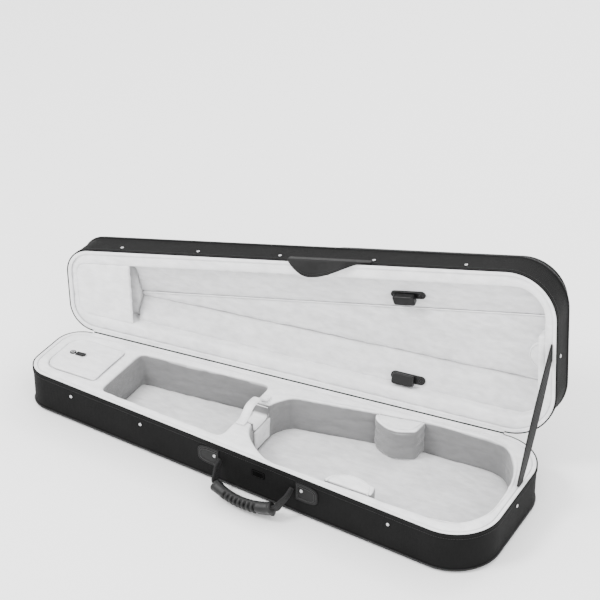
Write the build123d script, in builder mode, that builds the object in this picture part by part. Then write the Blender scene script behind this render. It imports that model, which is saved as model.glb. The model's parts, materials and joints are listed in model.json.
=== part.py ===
"""A triangular violin case, standing open on its base with the lid held up by a strap.

Frame: millimetres, origin at the middle of the base's underside. +X runs along the case
towards its wide end, -Y is the handle side, +Y the hinge side and +Z is up.
The lid and everything on it are drawn where they are when the case is shut, on planes that
lid_plane() turns about the hinge, so they come out standing open.
"""

from build123d import *

import os
from math import hypot

# ---------------------------------------------------------------- driving dimensions
LENGTH = 790.0
HALF_WIDE = 133.5  # half the width at the wide end, at the outline's sharp corner
HALF_NARROW = 65.0
CORNER_WIDE = 70.0
CORNER_NARROW = 42.0
BASE_HEIGHT = 66.0
LID_HEIGHT = 61.0
LID_OPEN = 96.0  # how far the lid stands open
RIM_GAP = 0.3  # between the two rims when shut

SKIN = 1.2  # outer fabric
BOARD = 4.0  # plywood
SHELL = SKIN + BOARD
FLOOR_TOP = SHELL
EDGE_ROUND = 5.0
ROUND_MARGIN = 0.3  # a fillet stops this short of a panel's full thickness
BINDING_HEIGHT = 4.0
BINDING_PROUD = 0.8
BINDING_ROUND = 1.2
PIPING = 1.2
PIPING_HALF = 1.5
PIPING_BEVEL = 0.5
HINGE_OUT = 2.0  # hinge line, outside the back wall
HINGE_ROLL = 1.1  # radius of the cord in the hinge tape
HINGE_END_GAP = 4.0  # from its ends to the rounded corners

INSERT_TOP = 68.0  # the plush insert stands proud of the base's rim
INSERT_STEP = 1.0  # and its proud part is that much narrower, so that it enters the lid
PIT_FLOOR = 14.0
PLUSH_ROUND = 2.0

RIVET_RADIUS = 2.8
RIVET_DOME = 1.6
RIVET_X = (-303.0, -172.0, -36.0, 114.0, 255.0)
RIVET_BASE_Z = 47.0
RIVET_LID_Z = 83.0

HANDLE_X = 37.0  # middle of the handle
HANDLE_Z = 45.0
HANDLE_ROOT = 66.0  # from the middle to each root
HANDLE_OUT = 5.0
HANDLE_REACH = 44.0
HANDLE_DROP = 40.0  # hanging angle below level
GRIP_LENGTH = 100.0
GRIP_WIDTH = 25.0
GRIP_THICK = 18.0
GRIP_ROUND = 5.0
GRIP_FLARE = 3.0  # how much longer its outer side is at each end
GRIP_SAGITTA = 9.0
GROOVES = 8
GROOVE_PITCH = 7.0
GROOVE_WIDTH = 2.8
GROOVE_DEPTH = 3.0

ACC_X0, ACC_X1 = -372.0, -279.0  # accessory box
ACC_HALF = 44.5
ACC_ROUND = 22.0  # its corners at the narrow end
ACC_SQUARE = 3.0  # and at its flat side

LID_RIM = BASE_HEIGHT + RIM_GAP
LID_TOP = LID_RIM + LID_HEIGHT
LID_PAD = INSERT_TOP + 0.4  # lid padding, just above the insert when shut
LID_PAD_TOP = LID_TOP - SHELL
SLOPE_LOW = LID_PAD + 15.0
CEILING = LID_PAD + 38.0
RING_SIDE = 24.0
RING_WIDE = 18.0
RING_NARROW = 13.0

SIDE_SLOPE = (HALF_WIDE - HALF_NARROW) / LENGTH
SIDE_RUN = hypot(1.0, SIDE_SLOPE)


def half_width(x):
    """Half the case's width at x, at the outer fabric of the straight sides."""
    return HALF_NARROW + SIDE_SLOPE * (x + LENGTH / 2)


# ---------------------------------------------------------------- planes
HINGE_POINT = Vector(0, half_width(0) + HINGE_OUT * SIDE_RUN, BASE_HEIGHT + RIM_GAP / 2)
HINGE_AXIS = Axis(HINGE_POINT, (1, SIDE_SLOPE, 0))


def turned(direction):
    return Vector(direction).rotate(HINGE_AXIS, -LID_OPEN)


def opened(point):
    """Where a point of the shut lid is when the lid stands open."""
    return HINGE_POINT + turned(Vector(point) - HINGE_POINT)


def lid_plane(plane):
    """A plane of the shut lid, turned open with it."""
    return Plane(origin=opened(plane.origin), x_dir=turned(plane.x_dir), z_dir=turned(plane.z_dir))


def wall_plane(x, z, out=0.0):
    """On the front wall: x along the wall, y up, z outwards."""
    normal = Vector(-SIDE_SLOPE, -1, 0).normalized()
    origin = Vector(x, -half_width(x), z) + normal * out
    return Plane(origin=origin, x_dir=(1, -SIDE_SLOPE, 0), z_dir=normal)


def end_plane(side, y, z, out=0.0):
    """On an end wall: side is +1 at the wide end and -1 at the narrow one."""
    origin = (side * (LENGTH / 2 + out), y, z)
    return Plane(origin=origin, x_dir=(0, side, 0), z_dir=(side, 0, 0))


LID = lid_plane(Plane.XY)


# ---------------------------------------------------------------- shared profiles
def outline(inset=0.0, narrow=None, wide=None):
    """The case's rounded trapezoid, moved in from its sides and, if given, its ends."""
    narrow = inset if narrow is None else narrow
    wide = inset if wide is None else wide
    left = -LENGTH / 2 + narrow
    right = LENGTH / 2 - wide
    low = half_width(left) - inset * SIDE_RUN
    high = half_width(right) - inset * SIDE_RUN
    Polygon((left, -low), (right, -high), (right, high), (left, low), align=None)
    fillet(vertices().group_by(Axis.X)[-1], radius=CORNER_WIDE - max(inset, wide))
    fillet(vertices().group_by(Axis.X)[0], radius=CORNER_NARROW - max(inset, narrow))


def slab(plane, z0, z1, inset=0.0, narrow=None, wide=None, mode=Mode.ADD):
    """The outline, extruded from z0 to z1 above the plane."""
    with BuildSketch(plane.offset(z0)) as plan:
        outline(inset, narrow, wide)
    extrude(plan.sketch, amount=z1 - z0, mode=mode)


def ring(plane, z0, z1, outer, inner):
    slab(plane, z0, z1, outer)
    slab(plane, z0, z1, inner, mode=Mode.SUBTRACT)


def save(builder, name):
    builder.part.label = name
    export_step(builder.part, f"parts/{name}.step")


os.makedirs("parts", exist_ok=True)

# ================================================================ shells
# Base and lid are built alike: a plywood panel and frame, covered with fabric.


def shell(plane, rim, outer, prefix, panel_name, tray_name, piping_name):
    """One half of the case; rim and outer are heights, outer being the flat outside."""
    up = 1 if outer > rim else -1
    panel_inner = outer - up * SHELL
    bind_end = rim + up * BINDING_HEIGHT

    with BuildPart() as panel:
        z0, z1 = sorted((panel_inner, outer - up * SKIN))
        slab(plane, z0, z1, SKIN)
        far = faces().sort_by(Axis(plane.origin, plane.z_dir))[-1 if up > 0 else 0]
        fillet(far.edges(), radius=EDGE_ROUND - SKIN - ROUND_MARGIN)
    save(panel, panel_name)

    with BuildPart() as tray:
        z0, z1 = sorted((panel_inner, outer))
        slab(plane, z0, z1)
        far = faces().sort_by(Axis(plane.origin, plane.z_dir))[-1 if up > 0 else 0]
        fillet(far.edges(), radius=EDGE_ROUND - ROUND_MARGIN)
        add(panel.part, mode=Mode.SUBTRACT)
    save(tray, tray_name)

    with BuildPart() as frame:
        z0, z1 = sorted((bind_end, panel_inner))
        ring(plane, z0, z1, SKIN, SHELL)
    save(frame, f"{prefix}_frame")

    with BuildPart() as side:
        ring(plane, z0, z1, 0.0, SKIN)
    save(side, f"{prefix}_side_cover")

    with BuildPart() as binding:
        z0, z1 = sorted((rim, bind_end))
        ring(plane, z0, z1, -BINDING_PROUD, SHELL)
        face = faces().sort_by(Axis(plane.origin, plane.z_dir))[0 if up > 0 else -1]
        fillet(face.edges(), radius=BINDING_ROUND)
    save(binding, f"{prefix}_rim_binding")

    with BuildPart() as piping:
        z0, z1 = sorted((panel_inner - PIPING_HALF, panel_inner + PIPING_HALF))
        ring(plane, z0, z1, -PIPING, 0.0)
        bead = edges().group_by(Axis(plane.origin, plane.z_dir))
        outer_edges = [e for g in (bead[0], bead[-1]) for e in g.group_by(SortBy.LENGTH)[-1]]
        chamfer(outer_edges, length=PIPING_BEVEL)
    save(piping, piping_name)


shell(Plane.XY, BASE_HEIGHT, 0.0, "base", "base_floor_panel", "base_bottom_cover", "base_bottom_piping")
shell(LID, LID_RIM, LID_TOP, "lid", "lid_top_panel", "lid_top_cover", "lid_top_piping")

# The cord rolled into the hinge tape, along the straight part of the back edge.
with BuildPart() as hinge_tape:
    tape_start = -LENGTH / 2 + CORNER_NARROW + HINGE_END_GAP
    tape_length = (LENGTH - CORNER_NARROW - CORNER_WIDE - 2 * HINGE_END_GAP) * SIDE_RUN
    tape_origin = HINGE_POINT + Vector(1, SIDE_SLOPE, 0) * tape_start
    with BuildSketch(Plane(origin=tape_origin, z_dir=(1, SIDE_SLOPE, 0))):
        Circle(HINGE_ROLL)
    extrude(amount=tape_length)
save(hinge_tape, "hinge_tape")

# ================================================================ base insert
PIT_NECK_X = -14.0  # the violin pit's flat side, at the neck
NECK_PIT_X1 = -40.0
NOTCH_HALF = 25.0
NOTCH_FLOOR = 44.0
NOTCH_ROUND = 12.0
NOTCH_CUT = 40.0  # taller than the notch is deep
CRADLE_PAD = 4.0
CRADLE_HEIGHT = 21.0
CRADLE_ROUND = 8.0
NECK_PIT_X0 = -257.0
NECK_PIT_ROUND = 7.0
FRONT_LINE = (308.0, -101.5)  # where the pit's straight front side ends
END_POINT = (376.0, -18.0)
BACK_LINE = ((305.0, 103.5), (208.0, 100.0))


def violin_pit():
    """The plan of the pit: shoulders at the neck, a long front side and a round end."""
    with BuildLine() as rim:
        Line((PIT_NECK_X, NOTCH_HALF + 1), (PIT_NECK_X, -NOTCH_HALF - 1))
        Spline((PIT_NECK_X, -NOTCH_HALF - 1), (22, -76), (66, -94), tangents=[(0.2, -1), (1, 0)])
        Line((66, -94), FRONT_LINE)
        Spline(FRONT_LINE, (350, -90), (371, -60), END_POINT, tangents=[(1, -0.03), (0, 1)])
        Spline(END_POINT, (363, 58), (343, 89), BACK_LINE[0], tangents=[(0, 1), (-1, 0.03)])
        Line(*BACK_LINE)
        Line(BACK_LINE[1], (14, 62))
        Spline((14, 62), (-3, 49), (PIT_NECK_X, NOTCH_HALF + 1), tangents=[(-1, -0.2), (-0.15, -1)])
    make_face(rim.edges())


def neck_pit(inset=0.0):
    Polygon(
        (NECK_PIT_X0 + inset, -58 + inset),
        (NECK_PIT_X1 - inset, -74 + inset),
        (NECK_PIT_X1 - inset, 72 - inset),
        (NECK_PIT_X0 + inset, 53 - inset),
        align=None,
    )
    fillet(vertices(), radius=NECK_PIT_ROUND)


def accessory_plan(inset=0.0):
    with Locations(((ACC_X0 + ACC_X1) / 2, 0)):
        Rectangle(ACC_X1 - ACC_X0 - 2 * inset, 2 * (ACC_HALF - inset))
    fillet(vertices().group_by(Axis.X)[0], radius=ACC_ROUND)
    fillet(vertices().group_by(Axis.X)[-1], radius=ACC_SQUARE)


with BuildPart() as base_insert:
    slab(Plane.XY, FLOOR_TOP, BASE_HEIGHT - BINDING_HEIGHT, SHELL)
    slab(Plane.XY, BASE_HEIGHT - BINDING_HEIGHT, INSERT_TOP, SHELL + INSERT_STEP)
    with BuildSketch(Plane.XY.offset(FLOOR_TOP)):
        violin_pit()
    extrude(amount=INSERT_TOP, mode=Mode.SUBTRACT)
    with BuildSketch(Plane.XY.offset(FLOOR_TOP)):
        neck_pit()
    extrude(amount=INSERT_TOP, mode=Mode.SUBTRACT)
    with BuildSketch(Plane.XY.offset(FLOOR_TOP)):
        accessory_plan()
    extrude(amount=INSERT_TOP, mode=Mode.SUBTRACT)
    fillet(faces().sort_by(Axis.Z)[-1].edges(), radius=PLUSH_ROUND)
    with BuildSketch(Plane.YZ.offset(NECK_PIT_X1 - 5)):
        with Locations((0, NOTCH_FLOOR)):
            Rectangle(2 * NOTCH_HALF, NOTCH_CUT, align=(Align.CENTER, Align.MIN))
        fillet(vertices().group_by(Axis.Y)[0], radius=NOTCH_ROUND)
    extrude(amount=PIT_NECK_X - NECK_PIT_X1 + 20, mode=Mode.SUBTRACT)

# It is glued up from three blocks, which meet between the pits and at the neck notch.
BLOCK_CUTS = (-268.0, -27.0)
for name, low, high in (
    ("insert_box_block", -LENGTH, BLOCK_CUTS[0]),
    ("insert_neck_block", BLOCK_CUTS[0], BLOCK_CUTS[1]),
    ("insert_violin_block", BLOCK_CUTS[1], LENGTH),
):
    with BuildPart() as block:
        add(base_insert.part)
        split(bisect_by=Plane.YZ.offset(low), keep=Keep.TOP)
        split(bisect_by=Plane.YZ.offset(high), keep=Keep.BOTTOM)
    save(block, name)

with BuildPart() as violin_pit_pad:
    with BuildSketch(Plane.XY.offset(FLOOR_TOP)):
        violin_pit()
    extrude(amount=PIT_FLOOR - FLOOR_TOP)
save(violin_pit_pad, "violin_pit_pad")

NECK_PAD_GAP = 0.2  # from the pad to the pit's walls
with BuildPart() as neck_pit_pad:
    with BuildSketch(Plane.XY.offset(FLOOR_TOP)):
        neck_pit(NECK_PAD_GAP)
    extrude(amount=PIT_FLOOR - FLOOR_TOP)
save(neck_pit_pad, "neck_pit_pad")

# The cradle lines the notch that the violin's neck lies in.
CRADLE_SIDE_GAP, CRADLE_END_GAP = 0.1, 0.5  # to the notch, and to each pit
with BuildPart() as neck_cradle:
    with BuildSketch(Plane.YZ.offset(NECK_PIT_X1 + CRADLE_END_GAP)):
        with Locations((0, NOTCH_FLOOR)):
            Rectangle(2 * (NOTCH_HALF - CRADLE_SIDE_GAP), CRADLE_HEIGHT, align=(Align.CENTER, Align.MIN))
        fillet(vertices().group_by(Axis.Y)[0], radius=NOTCH_ROUND)
        with BuildSketch(mode=Mode.SUBTRACT):
            with Locations((0, NOTCH_FLOOR + CRADLE_PAD)):
                Rectangle(2 * (NOTCH_HALF - CRADLE_PAD), NOTCH_CUT, align=(Align.CENTER, Align.MIN))
            fillet(vertices().group_by(Axis.Y)[0], radius=CRADLE_ROUND)
    extrude(amount=PIT_NECK_X - NECK_PIT_X1 - 2 * CRADLE_END_GAP)
save(neck_cradle, "neck_cradle")

# Waist blocks hold the violin at its middle.
BLOCK_TOP = INSERT_TOP - 0.5
BLOCK_ROUND = 1.5
BACK_BLOCK = ((133, 84.9), (150, 63.5), (178, 57), (202, 68), (207, 99.2))
FRONT_BLOCK = ((140, -95.6), (153, -74), (182, -67), (209, -76), (217, -97.8))

with BuildPart() as back_waist_block:
    with BuildSketch(Plane.XY.offset(PIT_FLOOR)):
        with BuildLine():
            Spline(*BACK_BLOCK, tangents=[(0.1, -1), (0.05, 1)])
            Line(BACK_BLOCK[-1], BACK_BLOCK[0])
        make_face()
    extrude(amount=BLOCK_TOP - PIT_FLOOR)
    fillet(faces().sort_by(Axis.Z)[-1].edges().sort_by(SortBy.LENGTH)[-1], radius=BLOCK_ROUND)
save(back_waist_block, "back_waist_block")

with BuildPart() as front_waist_block:
    with BuildSketch(Plane.XY.offset(PIT_FLOOR)):
        with BuildLine():
            Spline(*FRONT_BLOCK, tangents=[(0.1, 1), (0.1, -1)])
            Line(FRONT_BLOCK[-1], FRONT_BLOCK[0])
        make_face()
    extrude(amount=BLOCK_TOP - PIT_FLOOR)
    fillet(faces().sort_by(Axis.Z)[-1].edges().sort_by(SortBy.LENGTH)[-1], radius=BLOCK_ROUND)
save(front_waist_block, "front_waist_block")

# ================================================================ neck strap
STRAP_X = -27.0
STRAP_WIDTH = 14.0
STRAP_THICK = 3.0
STRAP_HALF = 30.0
STRAP_END = 41.0
STRAP_TIP = 2.0  # thickness at its ends
STRAP_PATCH = (12.0, 10.0, 2.0)  # length, width and corner radius
STRAP_PATCH_Y = 35.0
STRAP_RISE = 17.0
PATCH_THICK = 0.8
STRAP_FOOT = INSERT_TOP + PATCH_THICK + 0.3

with BuildPart() as neck_strap_patches:
    with BuildSketch(Plane.XY.offset(INSERT_TOP)):
        with Locations((STRAP_X, STRAP_PATCH_Y), (STRAP_X, -STRAP_PATCH_Y)):
            RectangleRounded(*STRAP_PATCH)
    extrude(amount=PATCH_THICK)
save(neck_strap_patches, "neck_strap_patches")

with BuildPart() as neck_strap:
    with BuildSketch(Plane.YZ.offset(STRAP_X - STRAP_WIDTH / 2)):
        with BuildLine():
            Line((-STRAP_END, STRAP_FOOT), (-STRAP_HALF, STRAP_FOOT))
            Spline(
                (-STRAP_HALF, STRAP_FOOT),
                (0, STRAP_FOOT + STRAP_RISE - STRAP_THICK),
                (STRAP_HALF, STRAP_FOOT),
                tangents=[(1, 0.5), (1, -0.5)],
            )
            Line((STRAP_HALF, STRAP_FOOT), (STRAP_END, STRAP_FOOT))
            Line((STRAP_END, STRAP_FOOT), (STRAP_END, STRAP_FOOT + STRAP_TIP))
            Line((STRAP_END, STRAP_FOOT + STRAP_TIP), (STRAP_HALF, STRAP_FOOT + STRAP_THICK))
            Spline(
                (STRAP_HALF, STRAP_FOOT + STRAP_THICK),
                (0, STRAP_FOOT + STRAP_RISE),
                (-STRAP_HALF, STRAP_FOOT + STRAP_THICK),
                tangents=[(-1, 0.5), (-1, -0.5)],
            )
            Line((-STRAP_HALF, STRAP_FOOT + STRAP_THICK), (-STRAP_END, STRAP_FOOT + STRAP_TIP))
            Line((-STRAP_END, STRAP_FOOT + STRAP_TIP), (-STRAP_END, STRAP_FOOT))
        make_face()
    extrude(amount=STRAP_WIDTH)
save(neck_strap, "neck_strap")

# ================================================================ accessory box
ACC_LID = 4.0
ACC_GAP = 0.6
TRAY_WALL = 2.0
TRAY_GAP = 0.2
TRAY_DROP = 0.4  # from its rim to the lid
ACC_LID_ROUND = 1.0

with BuildPart() as accessory_tray:
    with BuildSketch(Plane.XY.offset(FLOOR_TOP)):
        accessory_plan(TRAY_GAP)
    extrude(amount=INSERT_TOP - ACC_LID - TRAY_DROP - FLOOR_TOP)
    with BuildSketch(Plane.XY.offset(FLOOR_TOP + TRAY_WALL)):
        accessory_plan(TRAY_GAP + TRAY_WALL)
    extrude(amount=INSERT_TOP, mode=Mode.SUBTRACT)
save(accessory_tray, "accessory_tray")

with BuildPart() as accessory_lid:
    with BuildSketch(Plane.XY.offset(INSERT_TOP - ACC_LID)):
        accessory_plan(ACC_GAP)
    extrude(amount=ACC_LID)
    fillet(faces().sort_by(Axis.Z)[-1].edges(), radius=ACC_LID_ROUND)
save(accessory_lid, "accessory_lid")

TAB_X = -350.0
TAB_Y = 4.0
TAB_BOTTOM = INSERT_TOP + 0.1
TAB_THICK = 1.2
TAB_BASE = 5.2
TAB_GAP = 1.1  # where the tab bends, between its base and its free end
TAB_FREE = 17.0
TAB_WIDTH = 9.6
TAB_CORNER = 3.0
EYELET_RADIUS = 3.2
EYELET_HOLE = 1.4
EYELET_HEIGHT = 1.5

with BuildPart() as accessory_eyelet:
    with BuildSketch(Plane.XY.offset(INSERT_TOP)):
        with Locations((TAB_X, TAB_Y)):
            Circle(EYELET_RADIUS)
            Circle(EYELET_HOLE, mode=Mode.SUBTRACT)
    extrude(amount=EYELET_HEIGHT)
save(accessory_eyelet, "accessory_eyelet")

with BuildPart() as accessory_tab_base:
    with BuildSketch(Plane.XY.offset(INSERT_TOP)):
        with Locations((TAB_X, TAB_Y)):
            Circle(TAB_BASE)
            Circle(EYELET_RADIUS, mode=Mode.SUBTRACT)
    extrude(amount=TAB_THICK)
save(accessory_tab_base, "accessory_tab_base")

with BuildPart() as accessory_pull_tab:
    with BuildSketch(Plane.XY.offset(TAB_BOTTOM)):
        with Locations((TAB_X + TAB_BASE + TAB_GAP, TAB_Y)):
            RectangleRounded(TAB_FREE, TAB_WIDTH, TAB_CORNER, align=(Align.MIN, Align.CENTER))
    extrude(amount=TAB_THICK)
save(accessory_pull_tab, "accessory_pull_tab")

# ================================================================ handle
WALL = wall_plane(HANDLE_X, HANDLE_Z, HANDLE_OUT)
HANDLE_TURN = Axis(WALL.origin, WALL.x_dir)
HANDLE_OUTWARD = WALL.z_dir.rotate(HANDLE_TURN, HANDLE_DROP)
HANDLE = Plane(origin=WALL.origin, x_dir=WALL.x_dir, z_dir=WALL.x_dir.cross(HANDLE_OUTWARD))
GRIP_END = HANDLE_REACH - GRIP_SAGITTA
BARREL_LENGTH = 8.0  # of the gathered webbing at each root
BARREL_X = HANDLE_ROOT - BARREL_LENGTH / 2 - 0.5

with BuildPart() as handle_grip:
    with BuildSketch(HANDLE.offset(-GRIP_WIDTH / 2)):
        with BuildLine():
            half = GRIP_LENGTH / 2
            inner = GRIP_THICK / 2
            ThreePointArc(
                (-half, GRIP_END - inner), (0, HANDLE_REACH - inner + 1), (half, GRIP_END - inner)
            )
            Line((half, GRIP_END - inner), (half + GRIP_FLARE, GRIP_END + inner - 4))
            ThreePointArc(
                (half + GRIP_FLARE, GRIP_END + inner - 4),
                (0, HANDLE_REACH + inner),
                (-half - GRIP_FLARE, GRIP_END + inner - 4),
            )
            Line((-half - GRIP_FLARE, GRIP_END + inner - 4), (-half, GRIP_END - inner))
        make_face()
    extrude(amount=GRIP_WIDTH)
    fillet(edges().filter_by(GeomType.CIRCLE), radius=GRIP_ROUND)
    with BuildSketch(HANDLE.offset(-GRIP_WIDTH / 2)):
        with GridLocations(GROOVE_PITCH, 1, GROOVES, 1):
            with Locations((0, HANDLE_REACH + GRIP_THICK / 2 - GROOVE_DEPTH)):
                Rectangle(GROOVE_WIDTH, GRIP_THICK, align=(Align.CENTER, Align.MIN))
    extrude(amount=GRIP_WIDTH, mode=Mode.SUBTRACT)
save(handle_grip, "handle_grip")


def handle_strap(side):
    """The webbing from one root, where it is gathered round the hinge line, to the grip."""
    with BuildPart() as strap:
        across = Plane(origin=HANDLE.origin, x_dir=HANDLE.y_dir, z_dir=HANDLE.x_dir)
        with BuildSketch(across.offset(side * BARREL_X - BARREL_LENGTH / 2)):
            Circle(3.2)
        extrude(amount=BARREL_LENGTH)
        start = HANDLE.origin + HANDLE.x_dir * (side * BARREL_X) + HANDLE.y_dir * 1.0
        finish = HANDLE.origin + HANDLE.x_dir * (side * (GRIP_LENGTH / 2 + 1)) + HANDLE.y_dir * GRIP_END
        run = (finish - start).normalized()
        along = Plane(origin=start, x_dir=run.cross(HANDLE.z_dir), z_dir=run)
        with BuildSketch(along):
            Rectangle(4.5, 6)
        with BuildSketch(along.offset((finish - start).length - 2.0)):
            Rectangle(3.2, 20)
        loft(ruled=True)
        add(handle_grip.part, mode=Mode.SUBTRACT)
    save(strap, "handle_strap_left" if side < 0 else "handle_strap_right")


handle_strap(-1)
handle_strap(1)

TAB_LENGTH = 37.0
TAB_HEIGHT = 30.0
TAB_ROUND = 13.5
TAB_LEATHER = 2.2


def handle_tab(side):
    """A round-ended tab of leather on the front wall, with its straight edge at the strap."""
    with BuildPart() as tab:
        with BuildSketch(wall_plane(HANDLE_X, HANDLE_Z - 3)):
            with Locations((side * (HANDLE_ROOT + 1), 0)):
                RectangleRounded(2 * TAB_LENGTH, TAB_HEIGHT, TAB_ROUND)
            with Locations((side * (HANDLE_ROOT + 1 - TAB_LENGTH), 0)):
                Rectangle(2 * TAB_LENGTH, TAB_HEIGHT + 2, mode=Mode.SUBTRACT)
        extrude(amount=TAB_LEATHER)
        chamfer(faces().sort_by(Axis((0, 0, 0), (0, -1, 0)))[-1].edges(), length=0.6)
    save(tab, "handle_tab_left" if side < 0 else "handle_tab_right")


handle_tab(-1)
handle_tab(1)

# ================================================================ rivets
def rivet(plane):
    """A domed head standing on the plane."""
    with BuildSketch(plane) as head:
        Circle(RIVET_RADIUS)
    extrude(head.sketch, amount=RIVET_DOME)


with BuildPart() as base_rivets:
    for x in RIVET_X:
        on_tab = abs(abs(x - HANDLE_X) - HANDLE_ROOT - 10) < 8
        rivet(wall_plane(x, RIVET_BASE_Z - (1 if on_tab else 0), TAB_LEATHER if on_tab else 0.0))
    for side in (-1, 1):
        rivet(end_plane(side, 0, RIVET_BASE_Z + 2))
    heads = [f for s in solids() for f in s.faces().filter_by(GeomType.CYLINDER)]
    for head in heads:
        rim = head.edges().filter_by(GeomType.CIRCLE).sort_by(
            lambda e: -abs(e.center().Y) if abs(e.center().X) < 394 else -abs(e.center().X)
        )[0]
        fillet(rim, radius=RIVET_DOME - 0.3)
save(base_rivets, "base_rivets")

with BuildPart() as lid_rivets:
    for x in RIVET_X:
        rivet(lid_plane(wall_plane(x, RIVET_LID_Z)))
    for side in (-1, 1):
        rivet(lid_plane(end_plane(side, 0, RIVET_LID_Z + 1)))
    for head in [f for s in solids() for f in s.faces().filter_by(GeomType.CYLINDER)]:
        middle = opened((0, 0, RIVET_LID_Z))
        rim = head.edges().filter_by(GeomType.CIRCLE).sort_by(
            lambda e: -(e.center() - middle).length
        )[0]
        fillet(rim, radius=RIVET_DOME - 0.3)
save(lid_rivets, "lid_rivets")

# ================================================================ lid lining
RING_LEFT = -LENGTH / 2 + RING_NARROW
SLOPE_X0, SLOPE_X1 = -288.0, LENGTH / 2
FRONT_SEAM = 82.0  # from the front edge to the seam between slope and ceiling
BACK_SEAM_WIDE, BACK_SEAM_NARROW = 74.0, 60.0

with BuildPart() as lid_rim_pad:
    slab(LID, LID_PAD, LID_PAD_TOP, SHELL)
    slab(LID, LID_PAD, LID_PAD_TOP, RING_SIDE, RING_NARROW, RING_WIDE, mode=Mode.SUBTRACT)
    fillet(faces().sort_by(Axis(LID.origin, LID.z_dir))[0].edges(), radius=PLUSH_ROUND)
save(lid_rim_pad, "lid_rim_pad")


def ring_inner(x):
    return half_width(x) - RING_SIDE * SIDE_RUN


def front_seam(x):
    return -(half_width(x) - FRONT_SEAM)


def back_seam(x):
    share = (x - SLOPE_X0) / (SLOPE_X1 - SLOPE_X0)
    return half_width(x) - BACK_SEAM_NARROW - share * (BACK_SEAM_WIDE - BACK_SEAM_NARROW)


def lining(profile):
    """A pad whose section changes evenly along the lid; profile(x) gives its (y, z) corners."""
    sections = []
    for x in (SLOPE_X0, SLOPE_X1):
        with BuildSketch(lid_plane(Plane.YZ.offset(x))) as section:
            Polygon(*profile(x), align=None)
        sections.append(section.sketch)
    loft(sections, ruled=True)
    slab(LID, LID_PAD, LID_PAD_TOP, RING_SIDE, RING_NARROW, RING_WIDE, mode=Mode.INTERSECT)


def front_profile(x):
    edge, seam = -ring_inner(x) - 1, front_seam(x)
    return (edge, SLOPE_LOW), (seam, CEILING), (seam, LID_PAD_TOP), (edge, LID_PAD_TOP)


def back_profile(x):
    edge, seam = ring_inner(x) + 1, back_seam(x)
    return (edge, SLOPE_LOW), (edge, LID_PAD_TOP), (seam, LID_PAD_TOP), (seam, CEILING)


def middle_profile(x):
    low, high = front_seam(x), back_seam(x)
    return (low, CEILING), (high, CEILING), (high, LID_PAD_TOP), (low, LID_PAD_TOP)


for name, profile in (
    ("lid_front_slope_pad", front_profile),
    ("lid_back_slope_pad", back_profile),
    ("lid_middle_pad", middle_profile),
):
    with BuildPart() as pad:
        lining(profile)
    save(pad, name)

# The bow tips go under a padded board at the narrow end.
BOARD_LOW = LID_PAD + 3.2
BOARD_THICK = 6.0
BOARD_HIGH = BOARD_LOW + BOARD_THICK
TIP_PAD = 4.0  # thickness of the pad below it, under the ceiling
with BuildPart() as bow_tip_board:
    slab(LID, BOARD_LOW, BOARD_HIGH, RING_SIDE, RING_NARROW, RING_WIDE)
    with BuildSketch(LID.offset(BOARD_LOW)):
        with Locations((SLOPE_X0, 0)):
            Rectangle(LENGTH, LENGTH, align=(Align.MIN, Align.CENTER))
    extrude(amount=BOARD_HIGH - BOARD_LOW, mode=Mode.SUBTRACT)
save(bow_tip_board, "bow_tip_board")

with BuildPart() as bow_tip_pad:
    slab(LID, CEILING - TIP_PAD, LID_PAD_TOP, RING_SIDE, RING_NARROW, RING_WIDE)
    with BuildSketch(LID.offset(CEILING - TIP_PAD)):
        with Locations((SLOPE_X0, 0)):
            Rectangle(LENGTH, LENGTH, align=(Align.MIN, Align.CENTER))
    extrude(amount=LENGTH, mode=Mode.SUBTRACT)
save(bow_tip_pad, "bow_tip_pad")

# At the wide end a raised bar and a half-round patch keep the bows' ends off the wall.
BAR_X = LENGTH / 2 - RING_WIDE
BAR_GAP = 0.1
BAR_Y = 12.0
BAR_WIDTH = 11.0
BAR_LENGTH = 92.0
BAR_ROUND = 3.5
BAR_LOW = 2.0  # below the lid's padding
BAR_DEPTH = 26.0
END_PATCH_RADIUS = 22.0
END_PATCH_THICK = 7.0

with BuildPart() as bow_end_bar:
    with BuildSketch(LID.offset(LID_PAD + BAR_LOW)):
        with Locations((BAR_X - BAR_GAP - BAR_WIDTH / 2, BAR_Y)):
            RectangleRounded(BAR_WIDTH, BAR_LENGTH, BAR_ROUND)
    extrude(amount=BAR_DEPTH)
save(bow_end_bar, "bow_end_bar")

with BuildPart() as bow_end_patch:
    with BuildSketch(LID.offset(CEILING - END_PATCH_THICK)):
        with Locations((BAR_X - BAR_WIDTH - 4 * BAR_GAP, BAR_Y)):
            Circle(END_PATCH_RADIUS)
            Rectangle(LENGTH, LENGTH, align=(Align.MIN, Align.CENTER), mode=Mode.SUBTRACT)
    extrude(amount=END_PATCH_THICK)
save(bow_end_patch, "bow_end_patch")

# ================================================================ bow clips
CLIP_X = 162.0
CLIP_LIFT = 0.4
PLATE_LENGTH, PLATE_WIDTH, PLATE_THICK, PLATE_ROUND = 54.0, 13.0, 3.6, 1.2
SCREW_SPREAD, SCREW_SEAT, SCREW_FLOOR = 41.0, 3.3, 1.6  # spacing, seat radius, seat height
SCREW_HEAD, SCREW_SLOT, SLOT_LENGTH, SLOT_DEPTH = 3.0, 0.9, 4.2, 0.7
CLIP_SIZE = (34.0, 17.0, 4.0)  # length, width and corner radius
CLIP_AT = (-5.0, -4.0)
CLIP_THICK, CLIP_ROUND = 9.0, 2.0


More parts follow.
